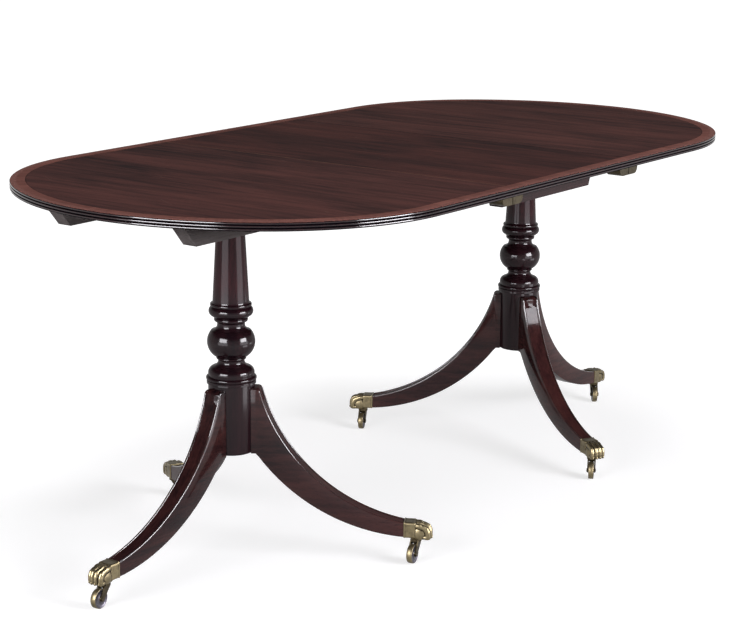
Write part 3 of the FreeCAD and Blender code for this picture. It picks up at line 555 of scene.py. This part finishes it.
def band_material(c):
    """Veneer laid across the band in short lengths, with a thin line along its inner edge."""
    piece_length, line_width = 0.118, 0.0012
    darkest_piece, line_share = 0.45, 0.85
    made, tree, shader = new_material("crossband_veneer")
    place = node(tree, "ShaderNodeAttribute", attribute_name="band").outputs["Vector"]
    parts = node(tree, "ShaderNodeSeparateXYZ", {0: place}).outputs
    figure = node(tree, "ShaderNodeGroup", node_tree=figure_group(), inputs={
        "Vector": place, "Dark": c.band_dark, "Light": c.band_light, "Pores": 0.5}).outputs
    number = maths(tree, "FLOOR", maths(tree, "DIVIDE", parts[0], piece_length))
    shade = node(tree, "ShaderNodeTexWhiteNoise", {"W": number}, noise_dimensions="1D").outputs[0]
    tone = blend(tree, spread(tree, shade, 0.0, 1.0, 0.0, darkest_piece), figure["Color"], c.band_dark)
    line = maths(tree, "LESS_THAN", parts[1], line_width)
    tone = blend(tree, maths(tree, "MULTIPLY", line, line_share), tone, c.turned_dark)
    polished(shader, TOP_POLISH, TOP_POLISH_ROUGH)
    surfaced(tree, shader, tone, figure["Roughness"], figure["Height"], 0.4, 0.0001)
    return made


class TABLE_OT_under_frame(bpy.types.Operator):
    """Bearers, blocks, clips, catches and screws under the top"""
    bl_idname = "table.under_frame"
    bl_label = "Under frame"

    def execute(self, context):
        c = context.scene.table_colours
        raw = {"polish": 0.04, "polish_rough": 0.4, "pores": 0.9, "bump": 0.0003}
        lengthways = (0.0, 0.0, math.pi / 2)
        along = wood("bearer_wood", c.raw_dark, c.raw_light, turn=lengthways, **raw)
        across = wood("block_wood", c.raw_dark, c.raw_light, **raw)
        dark = wood("leaf_bearer_mahogany", c.turned_dark, c.turned_light, turn=lengthways, polish=0.4)
        clip = brass("clip_brass", tinted(c.brass_bright, (0.30, 0.29, 0.29)), c.brass_dull)
        iron = brass("dark_iron", (0.12, 0.11, 0.10, 1.0), (0.035, 0.030, 0.028, 1.0))
        steel = brass("screw_steel", (0.30, 0.29, 0.27, 1.0), (0.08, 0.07, 0.06, 1.0))
        clothe(both("near_bearer", "far_bearer"), along)
        clothe(both("tilt_block"), across)
        clothe(["leaf_bearers"], dark)
        clothe(both("fork_sockets", "catch_case", "catch_bolt") + ["leaf_forks"], clip)
        clothe(both("pivot_rod"), iron)
        clothe(both("bearer_screws") + ["leaf_bearer_screws"], steel)
        return {"FINISHED"}


# The turned column from its foot up: radius and height in metres, and how far the stretch above it bows out
COLUMN_LINE = (
    (0.0380, 0.2040, 0.0018), (0.0440, 0.2100, 0.0), (0.0440, 0.3310, 0.0), (0.0440, 0.33102, 0.0),
    (0.0440, 0.3380, 0.0), (0.0463, 0.3380, 0.0002), (0.0467, 0.3386, 0.0), (0.0467, 0.3438, 0.0),
    (0.0457, 0.3446, 0.0022), (0.0457, 0.3520, 0.0), (0.0436, 0.3523, 0.0), (0.0436, 0.3550, 0.0028),
    (0.0368, 0.3695, 0.0), (0.0352, 0.3702, -0.0022), (0.0250, 0.3800, 0.0), (0.0252, 0.3830, -0.0004),
    (0.0278, 0.3850, 0.0005), (0.0278, 0.3876, 0.0), (0.0274, 0.3882, 0.00488), (0.0455, 0.4180, 0.00207),
    (0.0375, 0.4398, 0.0), (0.0360, 0.4404, -0.0024), (0.0262, 0.4500, 0.0), (0.0262, 0.4535, -0.0010),
    (0.0298, 0.4572, 0.0), (0.0306, 0.4576, 0.0014), (0.0306, 0.4640, 0.0), (0.0340, 0.4662, 0.0),
    (0.0359, 0.4676, 0.0062), (0.0359, 0.4870, 0.0), (0.0386, 0.4872, 0.0006), (0.0386, 0.4918, 0.0),
    (0.0358, 0.4926, -0.0004), (0.0344, 0.4980, 0.0),
)


class TABLE_OT_columns(bpy.types.Operator):
    """Turned columns with collar, ball and dome, in dark French polish"""
    bl_idname = "table.columns"
    bl_label = "Columns"

    def execute(self, context):
        c = context.scene.table_colours
        turned = wood("turned_mahogany", c.turned_dark, tinted(c.turned_light, (1.32, 0.94, 1.08)),
                      turn=(math.pi / 2, 0.0, 0.0), polish=0.34, polish_rough=0.12, crests=self.turnings)
        for side in SIDES:
            piece = finish_piece(column(), f"{side}_turned_column", f"{side}_pedestal", [f"{side}_column"],
                                 turned, place=leg_frame(side, 1))
            piece.data.set_sharp_from_angle(angle=math.radians(34))
        return {"FINISHED"}

    def turnings(self, tree, tone):
        """Painted shade on the turnings and the hub, full up to the top of the collar and fading out at the
        foot of the shaft, which is left lighter and redder; the shaded part gets more polish.
        """
        c = bpy.context.scene.table_colours
        place = node(tree, "ShaderNodeTexCoord").outputs["Object"]
        rise = node(tree, "ShaderNodeSeparateXYZ", {0: place}).outputs[2]
        collar, shaft = 0.488, 0.530
        darkening, shaft_polish = 0.66, 0.66
        gathered = spread(tree, rise, collar, shaft, 1.0, 0.0)
        # Painted shade: the turnings and the hub are darkened towards the dark pedestal colour
        tone = blend(tree, maths(tree, "MULTIPLY", gathered, darkening), tone, c.turned_dark)
        return spread(tree, gathered, 0.0, 1.0, shaft_polish, 1.0), tone


def bowed(start, end, bow, steps=8):
    """Points from a start towards an end on an arc that bows out, or in where the bow is below zero."""
    if not bow:
        return [start]
    chord = end - start
    side = Vector((chord.y, -chord.x)).normalized()
    radius = chord.length_squared / (8 * abs(bow)) + abs(bow) / 2
    made = []
    for step in range(steps):
        share = step / steps
        along = chord.length * (share - 0.5)
        rise = math.sqrt(radius ** 2 - along ** 2) - (radius - abs(bow))
        made.append(start + chord * share + side * math.copysign(rise, bow))
    return made


def column():
    """One column on its own axis, its section spun round, with a flat on the hub for each leg."""
    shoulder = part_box("left_tilt_block")[0].z
    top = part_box("left_column")[1].z
    shaft_radius, tenon_radius, hub_radius, leg_top = 0.0256, 0.0190, 0.0440, 0.3310
    line = [(Vector((r, z)), bow) for r, z, bow in COLUMN_LINE] + [(Vector((shaft_radius, shoulder)), 0.0)]
    section = [Vector((0.0, COLUMN_LINE[0][1]))]
    for (start, bow), (end, _) in zip(line, line[1:]):
        section += bowed(start, end, bow)
    section.append(line[-1][0])
    section += [Vector((tenon_radius, shoulder)), Vector((tenon_radius, top)), Vector((0.0, top))]
    bm = spun([(point.x, 0.0, point.y) for point in section], (0, 0, 1), 96)
    flat = math.sqrt(hub_radius ** 2 - LEG_HALF_TOP ** 2)
    for turn in LEG_ANGLES["right"]:
        about = Matrix.Rotation(math.radians(turn), 3, "Z")
        for vert in bm.verts:
            local = about.inverted() @ vert.co
            if vert.co.z < leg_top + MERGE and local.x > flat:
                vert.co = about @ Vector((flat, local.y, local.z))
    bmesh.ops.recalc_face_normals(bm, faces=bm.faces[:])
    return bm


# A leg in its own frame, in metres: where its shoulder and its toe lie, and half its width at both
LEG_SHOULDER, LEG_END = 0.058, 0.331
LEG_HALF_TOP, LEG_HALF_TOE = 0.019, 0.015
# Its softened lower edge, as points in from the side and up, and the quirk by each bead, in and down
LEG_LOWER_EDGE = ((0.0012, 0.0), (0.0003, 0.0005), (0.0, 0.0014))
LEG_QUIRK = ((0.0004, 0.0006), (0.0011, 0.0))


class TABLE_OT_legs(bpy.types.Operator):
    """Sabre legs with a bead along both upper edges and a sunk face between"""
    bl_idname = "table.legs"
    bl_label = "Legs"

    def execute(self, context):
        c = context.scene.table_colours
        sawn = wood("leg_mahogany", c.turned_dark, tinted(c.turned_light, (1.55, 1.30, 1.12)),
                    attribute="grain", polish=1.0, polish_rough=0.08, crests=self.bead_crests)
        for seed, (side, number) in enumerate(FEET, start=1):
            bm = leg(context.scene.table_sizes, seed)
            piece = finish_piece(bm, f"{side}_sabre_leg_{number}", f"{side}_pedestal",
                                 [f"{side}_leg_{number}"], sawn,
                                 place=leg_frame(side, number))
            piece.data.set_sharp_from_angle(angle=math.radians(38))
        return {"FINISHED"}

    def bead_crests(self, tree, tone):
        """Polish on the crests of the beads, less on the sides and least in the sunk face."""
        return node(tree, "ShaderNodeAttribute", attribute_name="rub").outputs["Fac"], tone


def on_arc(start, end, radius, share):
    """Point and inward normal at a share of the arc between two points, its centre up and outwards."""
    chord = end - start
    away = Vector((-chord.y, chord.x)).normalized()
    centre = (start + end) / 2 + away * math.sqrt(radius ** 2 - chord.length_squared / 4)
    from_angle = math.atan2(start.y - centre.y, start.x - centre.x)
    to_angle = math.atan2(end.y - centre.y, end.x - centre.x)
    angle = from_angle + (to_angle - from_angle) * share
    inward = -Vector((math.cos(angle), math.sin(angle)))
    return centre - inward * radius, inward


def leg_stations():
    """Stations down a leg: its upper face's point and normal, the point under it, and how far it is sunk."""
    low, high = 0.204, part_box("right_leg_1")[1].z
    flat, heel, round_ = 0.0397, 0.050, 0.009
    end_low, end_high = 0.04952, 0.0780
    upper_radius, under_radius = 0.348, 0.376
    made = [(Vector((flat, high)), Vector((0.0, 1.0)), Vector((flat, low)), 0.0)]
    for step in range(6):
        angle = math.pi / 2 * (1 - step / 5)
        normal = Vector((math.cos(angle), math.sin(angle)))
        under = Vector((flat + (heel - flat) * (step + 1) / 7, low))
        upper = Vector((LEG_SHOULDER - round_, high - round_)) + normal * round_
        made.append((upper, normal, under, step / 6))
    count = 44
    for step in range(1, count + 1):
        share = step / count
        upper, normal = on_arc(
            Vector((LEG_SHOULDER, high - round_)), Vector((LEG_END, end_high)), upper_radius, share)
        under, _ = on_arc(Vector((heel, low)), Vector((LEG_END, end_low)), under_radius, share)
        made.append((upper, normal, under, 1.0))
    return made


def leg(s, seed):
    """One leg along X, drawn from station to station, with beads of one size and sides that taper."""
    bead, sunk = s.bead_radius, s.leg_sunk
    # Polish on the sides and in the sunk face, and the points of half a ring between which the bead lies
    on_sides, in_sunk_face, bead_from, bead_to = 0.38, 0.1, 4, 9
    # Each leg is cut from another place in the wood
    shift_across, shift_along = seed * 0.37, seed * 1.9
    rings, length, last = [], 0.0, None
    for upper, normal, under, depth in leg_stations():
        share = min(max((upper.x - LEG_SHOULDER) / (LEG_END - LEG_SHOULDER), 0.0), 1.0)
        half = LEG_HALF_TOP + (LEG_HALF_TOE - LEG_HALF_TOP) * share
        rise = (upper - under).normalized()
        ring = [(half - inset, under + rise * up) for inset, up in LEG_LOWER_EDGE]
        for step in range(7):
            angle = math.pi * step / 6
            across = half - bead + bead * math.cos(angle)
            ring.append((across, upper + normal * bead * (math.sin(angle) - 1.0)))
        floor = -sunk * depth
        for inset, down in LEG_QUIRK:
            ring.append((half - 2 * bead - inset, upper + normal * (floor - down * depth)))
        ring += [(-across, point) for across, point in reversed(ring)]
        length += (upper - last).length if last else 0.0
        last = upper
        rings.append(([Vector((p.x, across, p.y)) for across, p in ring], length))
    bm = bmesh.new()
    grain = bm.verts.layers.float_vector.new("grain")
    rub = bm.verts.layers.float.new("rub")
    rows = loft(bm, [points for points, _ in rings])
    for row, (_, length) in zip(rows, rings):
        for place, vert in enumerate(row):
            step = min(place, len(row) - 1 - place)
            vert[grain] = (vert.co.y + shift_across, length + shift_along, vert.co.z * 0.5)
            vert[rub] = on_sides if step < bead_from else 1.0 if step < bead_to else in_sunk_face
    return bm


def loft(bm, rings):
    """Draws a closed ring through the given rings and closes both ends; gives the rows of vertices."""
    row = [bm.verts.new(point) for point in rings[0]]
    edges = [bm.edges.new(pair) for pair in zip(row, row[1:] + row[:1])]
    ends, rows = [edges], [row]
    for ring in rings[1:]:
        made = bmesh.ops.extrude_edge_only(bm, edges=edges)["geom"]
        fresh = {g for g in made if isinstance(g, bmesh.types.BMVert)}
        row = [next(e.other_vert(v) for e in v.link_edges if e.other_vert(v) in fresh) for v in row]
        edges = [g for g in made if isinstance(g, bmesh.types.BMEdge)]
        for vert, point in zip(row, ring):
            vert.co = point
        rows.append(row)
    ends.append(edges)
    for edges in ends:
        bmesh.ops.edgeloop_fill(bm, edges=edges)
    bmesh.ops.recalc_face_normals(bm, faces=bm.faces[:])
    return rows


class TABLE_OT_paws(bpy.types.Operator):
    """Cast brass paws on the legs: socket with a fine lip, toes over their knuckles, pads and claws"""
    bl_idname = "table.paws"
    bl_label = "Paws"

    def execute(self, context):
        c = context.scene.table_colours
        cast = brass("cast_brass_paw", c.brass_bright, c.brass_dull, attribute="hollow")
        casting = paw(context.scene.table_sizes)
        for side, number in FEET:
            finish_piece(casting.copy(), f"{side}_lion_paw_{number}", f"{side}_pedestal",
                         [f"{side}_paw_{number}"], cast, place=leg_frame(side, number))
        casting.free()
        return {"FINISHED"}


# A toe's line from the socket over its knuckles to its tip, and its radius there, in metres
TOE_LINE = (
    (0.3390, 0.0746, 0.0036), (0.3480, 0.0736, 0.0042), (0.3560, 0.0736, 0.0050), (0.3625, 0.0733, 0.0055),
    (0.3685, 0.0708, 0.0047), (0.3735, 0.0692, 0.0048), (0.3778, 0.0658, 0.0054), (0.3802, 0.0608, 0.0055),
    (0.3806, 0.0552, 0.0053), (0.3800, 0.0508, 0.0046),
)
# Height of the sole, and blocks of the socket, its lip and the instep: low corner, high corner and rounding
PAW_SOLE = 0.0455
PAW_BLOCKS = (
    ((0.3312, -0.0160, 0.0482), (0.3540, 0.0160, 0.0787), 0.0030),
    ((0.3311, -0.0167, 0.0480), (0.3334, 0.0167, 0.0795), 0.0010),
    ((0.3420, -0.0140, PAW_SOLE - 0.004), (0.3765, 0.0140, 0.0705), 0.0085),
)
# Under each toe its pad, the ball behind it and its claw: out from the tip, up from the sole, radius, stretch
TOE_KNOBS = (
    (-0.0030, 0.0040, 0.0052, (1.3, 0.88, 0.9)),
    (-0.0160, 0.0110, 0.0064, (2.0, 0.70, 2.0)),
    (0.0040, 0.0034, 0.0021, (1.25, 0.75, 1.5)),
)


def soft_box(bm, low, high, round_):
    """A block between two corners with its edges rounded."""
    verts = bmesh.ops.create_cube(bm, size=1.0)["verts"]
    size = [b - a for a, b in zip(low, high)]
    bmesh.ops.scale(bm, verts=verts, vec=size)
    bmesh.ops.translate(bm, verts=verts, vec=[(a + b) / 2 for a, b in zip(low, high)])
    edges = list({e for v in verts for e in v.link_edges})
    bmesh.ops.bevel(bm, geom=edges, offset=round_, offset_type="OFFSET", segments=4, profile=0.5,
                    affect="EDGES", material=-1)


def knob(bm, place, radius, stretch):
    """A stretched ball at a place."""
    made = bmesh.ops.create_uvsphere(bm, u_segments=16, v_segments=10, radius=radius)["verts"]
    bmesh.ops.scale(bm, verts=made, vec=stretch)
    bmesh.ops.translate(bm, verts=made, vec=place)


def cast_in_one(bm, grain):
    """Fuses overlapping shells into one skin of small faces, as a casting is."""
    mesh = bpy.data.meshes.new("pattern")
    bm.to_mesh(mesh)
    bm.free()
    pattern = bpy.data.objects.new("pattern", mesh)
    bpy.context.scene.collection.objects.link(pattern)
    remesh = pattern.modifiers.new("skin", "REMESH")
    remesh.mode = "VOXEL"
    remesh.voxel_size = grain
    skin = bpy.data.meshes.new_from_object(pattern.evaluated_get(bpy.context.evaluated_depsgraph_get()))
    bpy.data.objects.remove(pattern)
    bpy.data.meshes.remove(mesh)
    bm = bmesh.new()
    bm.from_mesh(skin)
    bpy.data.meshes.remove(skin)
    return bm


def smoothed(bm, passes):
    for _ in range(passes):
        bmesh.ops.smooth_vert(bm, verts=bm.verts[:], factor=0.5,
                              use_axis_x=True, use_axis_y=True, use_axis_z=True)


def paw(s):
    """One paw along X: socket, lip, instep, toes over two knuckles each, pads and claws, cast in one."""
    bm = bmesh.new()
    for low, high, round_ in PAW_BLOCKS:
        soft_box(bm, low, high, round_)
    # Half the width across the toes, and how far the outer toes stand back and down
    half, stand_back, stand_down = 0.0163, 0.0062, 0.0034
    # Shares of their spread and girth that toes have at the socket, their width and the depth at their tips
    gathered, slender, narrow, deeper = 0.72, 0.84, 0.84, 0.3
    start_x, tip_x = TOE_LINE[0][0], max(point[0] for point in TOE_LINE)
    pitch = 2 * half / s.paw_toes
    for number in range(s.paw_toes):
        across = (number + 0.5) * pitch - half
        outer = (across / half) ** 2
        for start, end in zip(TOE_LINE, TOE_LINE[1:]):
            for step in range(3):
                x, z, radius = [a + (b - a) * step / 3 for a, b in zip(start, end)]
                share = (x - start_x) / (tip_x - start_x)
                fanned = gathered + (1.0 - gathered) * ease(share, 0.1, 0.5)
                girth = slender + (1.0 - slender) * ease(share, 0.0, 0.5)
                place = (x - stand_back * share * outer, across * fanned,
                         z - stand_down * outer * ease(share, 0.1, 0.6))
                knob(bm, place, radius * girth, (1.0, narrow, 1.0 + deeper * ease(share, 0.5, 0.9)))
        x = TOE_LINE[-1][0] - stand_back * outer
        for out, up, radius, stretch in TOE_KNOBS:
            knob(bm, (x + out, across, PAW_SOLE + up), radius, stretch)
    casting_grain = 0.0006
    bm = cast_in_one(bm, casting_grain)
    hollow = bm.verts.layers.float.new("hollow")
    smoothed(bm, 6)
    bmesh.ops.bisect_plane(bm, geom=bm.verts[:] + bm.edges[:] + bm.faces[:], plane_co=(0, 0, PAW_SOLE),
                           plane_no=(0, 0, -1), clear_outer=True)
    bmesh.ops.holes_fill(bm, edges=[e for e in bm.edges if e.is_boundary], sides=0)
    bm.normal_update()
    # Where more smoothing would fill the skin out there is a hollow
    kept = {v: (v.co.copy(), v.normal.copy()) for v in bm.verts}
    smoothed(bm, 14)
    for vert, (place, normal) in kept.items():
        vert[hollow] = min(max((vert.co - place).dot(normal) / casting_grain, -1.0), 1.0)
        vert.co = place
    bmesh.ops.recalc_face_normals(bm, faces=bm.faces[:])
    return bm


def ease(value, low, high):
    """0 below low, 1 above high, and smooth between."""
    t = min(max((value - low) / (high - low), 0.0), 1.0)
    return t * t * (3.0 - 2.0 * t)


class TABLE_OT_castors(bpy.types.Operator):
    """Castor horns, axles and bosses in brass, and turned wheels with brass treads and dark sides"""
    bl_idname = "table.castors"
    bl_label = "Castors"

    def execute(self, context):
        c = context.scene.table_colours
        s = context.scene.table_sizes
        horn = brass("castor_horn_brass", tinted(c.brass_bright, (0.32, 0.31, 0.31)), c.brass_dull)
        tread = brass("wheel_tread_brass", tinted(c.brass_bright, (1.10, 1.10, 1.10)), c.brass_dull)
        face = brass("wheel_side_tarnish", (0.07, 0.065, 0.075, 1.0), (0.018, 0.016, 0.022, 1.0))
        for side, number in FEET:
            clothe([f"{side}_castor_horn_{number}", f"{side}_castor_axle_{number}"], horn)
            place = castor_frame(side, number)
            finish_piece(wheel(s), f"{side}_turned_wheel_{number}", f"{side}_wheel_{number}",
                         [f"{side}_castor_wheel_{number}"], [tread, face], place=place)
            finish_piece(boss(), f"{side}_castor_boss_{number}", f"{side}_castor_{number}", [],
                         horn, place=place)
        return {"FINISHED"}


# Section of the boss under a castor's crown: radius and height in metres
BOSS_LINE = (
    (0.0, 0.0400), (0.0058, 0.0400), (0.0060, 0.0380), (0.0056, 0.0355), (0.0049, 0.0335), (0.0041, 0.0318),
    (0.0030, 0.0303), (0.0016, 0.0292), (0.0, 0.0288),
)


def boss():
    """The rounded end of a castor's pin, under its crown between the arms."""
    return spun([(radius, 0.0, rise) for radius, rise in BOSS_LINE], (0, 0, 1), 32)


def wheel(s):
    """One wheel: its section spun about the axle, with a crowned tread and sides hollowed from hub to rim."""
    r, w = s.wheel_radius, s.wheel_width / 2
    bore, hub, rim, hollow = 0.0030, 0.0046, 0.0020, 0.0010
    hub_slope, rim_slope, crown, shoulder = 0.0004, 0.0006, 0.0003, 0.0008
    # Faces between the hub and the rim, away from the tread and the bore, are the dark sides
    side_from, side_to, off_middle = hub + 0.0002, r - 0.0012, 0.002
    section = [(bore, w), (hub, w), (hub + hub_slope, w - shoulder), (r - rim - rim_slope, w - hollow),
               (r - rim, w), (r - rim / 2, w), (r - crown, w - shoulder), (r, 0.0)]
    section += [(x, -y) for x, y in reversed(section[:-1])]
    bm = spun([(x, y, 0.0) for x, y in section], (0, 1, 0), 48, closed=True)
    for face in bm.faces:
        centre = face.calc_center_median()
        away = math.hypot(centre.x, centre.z)
        face.material_index = int(side_from < away < side_to and abs(centre.y) > off_middle)
    bmesh.ops.translate(bm, verts=bm.verts[:], vec=(s.castor_trail, 0.0, r))
    return bm


# Stage

class TABLE_OT_stage(bpy.types.Operator):
    """Pale floor, soft light, white surround and the camera"""
    bl_idname = "table.stage"
    bl_label = "Stage"

    def execute(self, context):
        scene = context.scene
        st = scene.table_stage
        scene.view_settings.view_transform = "Standard"
        world = bpy.data.worlds.new("white_surround")
        scene.world = world
        world.use_nodes = True
        tree = world.node_tree
        path = tree.nodes.new("ShaderNodeLightPath").outputs
        seen = maths(tree, "MAXIMUM", path["Is Glossy Ray"], path["Is Transmission Ray"])
        direction = tree.nodes.new("ShaderNodeTexCoord").outputs["Generated"]
        rise = node(tree, "ShaderNodeSeparateXYZ", {0: direction}).outputs[2]
        backdrop = spread(tree, rise, 0.20, 0.50, 1.0, st.ceiling)
        level = maths(tree, "MAXIMUM", path["Is Camera Ray"], spread(tree, seen, 0.0, 1.0, st.sky, backdrop))
        tree.links.new(level, tree.nodes["Background"].inputs["Strength"])
        tree.nodes["Background"].inputs["Color"].default_value = WHITE

        bm = bmesh.new()
        bmesh.ops.create_grid(bm, x_segments=8, y_segments=8, size=30.0)
        mesh = bpy.data.meshes.new("floor")
        bm.to_mesh(mesh)
        bm.free()
        floor = bpy.data.objects.new("floor", mesh)
        scene.collection.objects.link(floor)
        mesh.materials.append(self.floor_finish())

        aim = (-0.2, 0.0, 0.4)
        lamp_size, box_size, panel_size, card_size = (1.9, 1.15), (2.0, 1.2), (1.9, 0.7), (0.45, 0.18)
        for name, place, front, low, power, box_glow in (
                ("end", (-3.6, 0.0, 1.50), (-3.48, 0.0, 1.46), (-2.7, 0.0, 0.36), st.end_power, st.end_glow),
                ("front", (0.35, -3.5, 1.50), (0.33, -3.38, 1.46), (0.15, -2.4, 0.36), st.front_power,
                 st.front_glow)):
            self.lamp(f"{name}_light", place, aim, lamp_size, power).visible_glossy = False
            self.mirrored(f"{name}_box", front, aim, box_size, box_glow)
            self.mirrored(f"{name}_panel", low, aim, panel_size, st.panel_glow)
        for name, place in (("left_card", (-0.16, -0.95, 0.09)), ("right_card", (0.85, -0.95, 0.09))):
            self.mirrored(name, place, (place[0] - 0.3, 0.0, 0.12), card_size, st.card_glow)
        camera = bpy.data.objects.new("camera", bpy.data.cameras.new("camera"))
        scene.collection.objects.link(camera)
        camera.data.sensor_width = 36.0
        camera.data.lens = st.lens
        camera.data.clip_end = 200.0
        turn = Matrix.Rotation(-st.yaw, 4, "Z") @ Matrix.Rotation(math.pi / 2 - st.pitch, 4, "X")
        camera.matrix_world = Matrix.Translation(st.eye) @ turn @ Matrix.Rotation(st.roll, 4, "Z")
        scene.camera = camera
        return {"FINISHED"}

    def floor_finish(self):
        """A pale matt floor that keeps the shadow, white to the eye far off, and clear from below."""
        made, tree, shader = new_material("pale_floor")
        shader.inputs["Base Color"].default_value = (0.50, 0.50, 0.50, 1.0)
        shader.inputs["Roughness"].default_value = 0.9
        shader.inputs["Specular IOR Level"].default_value = 0.0
        path = tree.nodes.new("ShaderNodeLightPath").outputs
        seen = maths(tree, "MAXIMUM", path["Is Camera Ray"], maths(
            tree, "MAXIMUM", path["Is Glossy Ray"], path["Is Transmission Ray"]))
        place = node(tree, "ShaderNodeTexCoord").outputs["Object"]
        oval = node(tree, "ShaderNodeVectorMath", {0: place, 1: (0.7, 1.0, 1.0)}, operation="MULTIPLY")
        away = node(tree, "ShaderNodeVectorMath", {0: oval.outputs[0]}, operation="LENGTH").outputs["Value"]
        level = spread(tree, away, 0.55, 1.10, 0.65, 1.0)
        tree.links.new(maths(tree, "MULTIPLY", seen, level), shader.inputs["Emission Strength"])
        shader.inputs["Emission Color"].default_value = WHITE
        below = node(tree, "ShaderNodeNewGeometry").outputs["Backfacing"]
        clear = tree.nodes.new("ShaderNodeBsdfTransparent").outputs[0]
        surface = node(tree, "ShaderNodeMixShader", {0: below, 1: shader.outputs[0], 2: clear}).outputs[0]
        tree.links.new(surface, tree.nodes["Material Output"].inputs["Surface"])
        return made

    def mirrored(self, name, place, aim, size, glow):
        """A lamp of a given brightness that only shows as polish mirrors it."""
        self.lamp(name, place, aim, size, glow * math.pi * size[0] * size[1]).visible_diffuse = False

    def lamp(self, name, place, aim, size, power):
        """A soft box that the camera doesn't see."""
        light = bpy.data.lights.new(name, "AREA")
        light.shape = "RECTANGLE"
        light.size, light.size_y = size
        light.color = (0.96, 0.95, 1.0)
        light.energy = power
        lamp = bpy.data.objects.new(name, light)
        bpy.context.scene.collection.objects.link(lamp)
        lamp.location = place
        lamp.visible_camera = False
        lamp.rotation_euler = (Vector(aim) - Vector(place)).to_track_quat("-Z", "Y").to_euler()
        return lamp


OPERATORS = (
    TABLE_OT_stage, TABLE_OT_top_boards, TABLE_OT_crossbands, TABLE_OT_under_frame, TABLE_OT_columns,
    TABLE_OT_legs, TABLE_OT_paws, TABLE_OT_castors,
)


class TABLE_PT_panel(bpy.types.Panel):
    """The table's pieces"""
    bl_idname = "TABLE_PT_panel"
    bl_label = "Dining table"
    bl_space_type = "VIEW_3D"
    bl_region_type = "UI"
    bl_category = "Table"

    def draw(self, context):
        for operator in OPERATORS:
            self.layout.operator(operator.bl_idname)


GROUPS = (TableSizes, TableColours, StageSettings)


def register():
    for each in GROUPS + OPERATORS + (TABLE_PT_panel,):
        bpy.utils.register_class(each)
    bpy.types.Scene.table_sizes = PointerProperty(type=TableSizes)
    bpy.types.Scene.table_colours = PointerProperty(type=TableColours)
    bpy.types.Scene.table_stage = PointerProperty(type=StageSettings)


def unregister():
    del bpy.types.Scene.table_stage
    del bpy.types.Scene.table_colours
    del bpy.types.Scene.table_sizes
    for each in reversed(GROUPS + OPERATORS + (TABLE_PT_panel,)):
        bpy.utils.unregister_class(each)


def main():
    register()
    bpy.ops.table.stage()
    bpy.ops.table.top_boards()
    bpy.ops.table.crossbands()
    bpy.ops.table.under_frame()
    bpy.ops.table.columns()
    bpy.ops.table.legs()
    bpy.ops.table.paws()
    bpy.ops.table.castors()


if __name__ == "__main__":
    main()
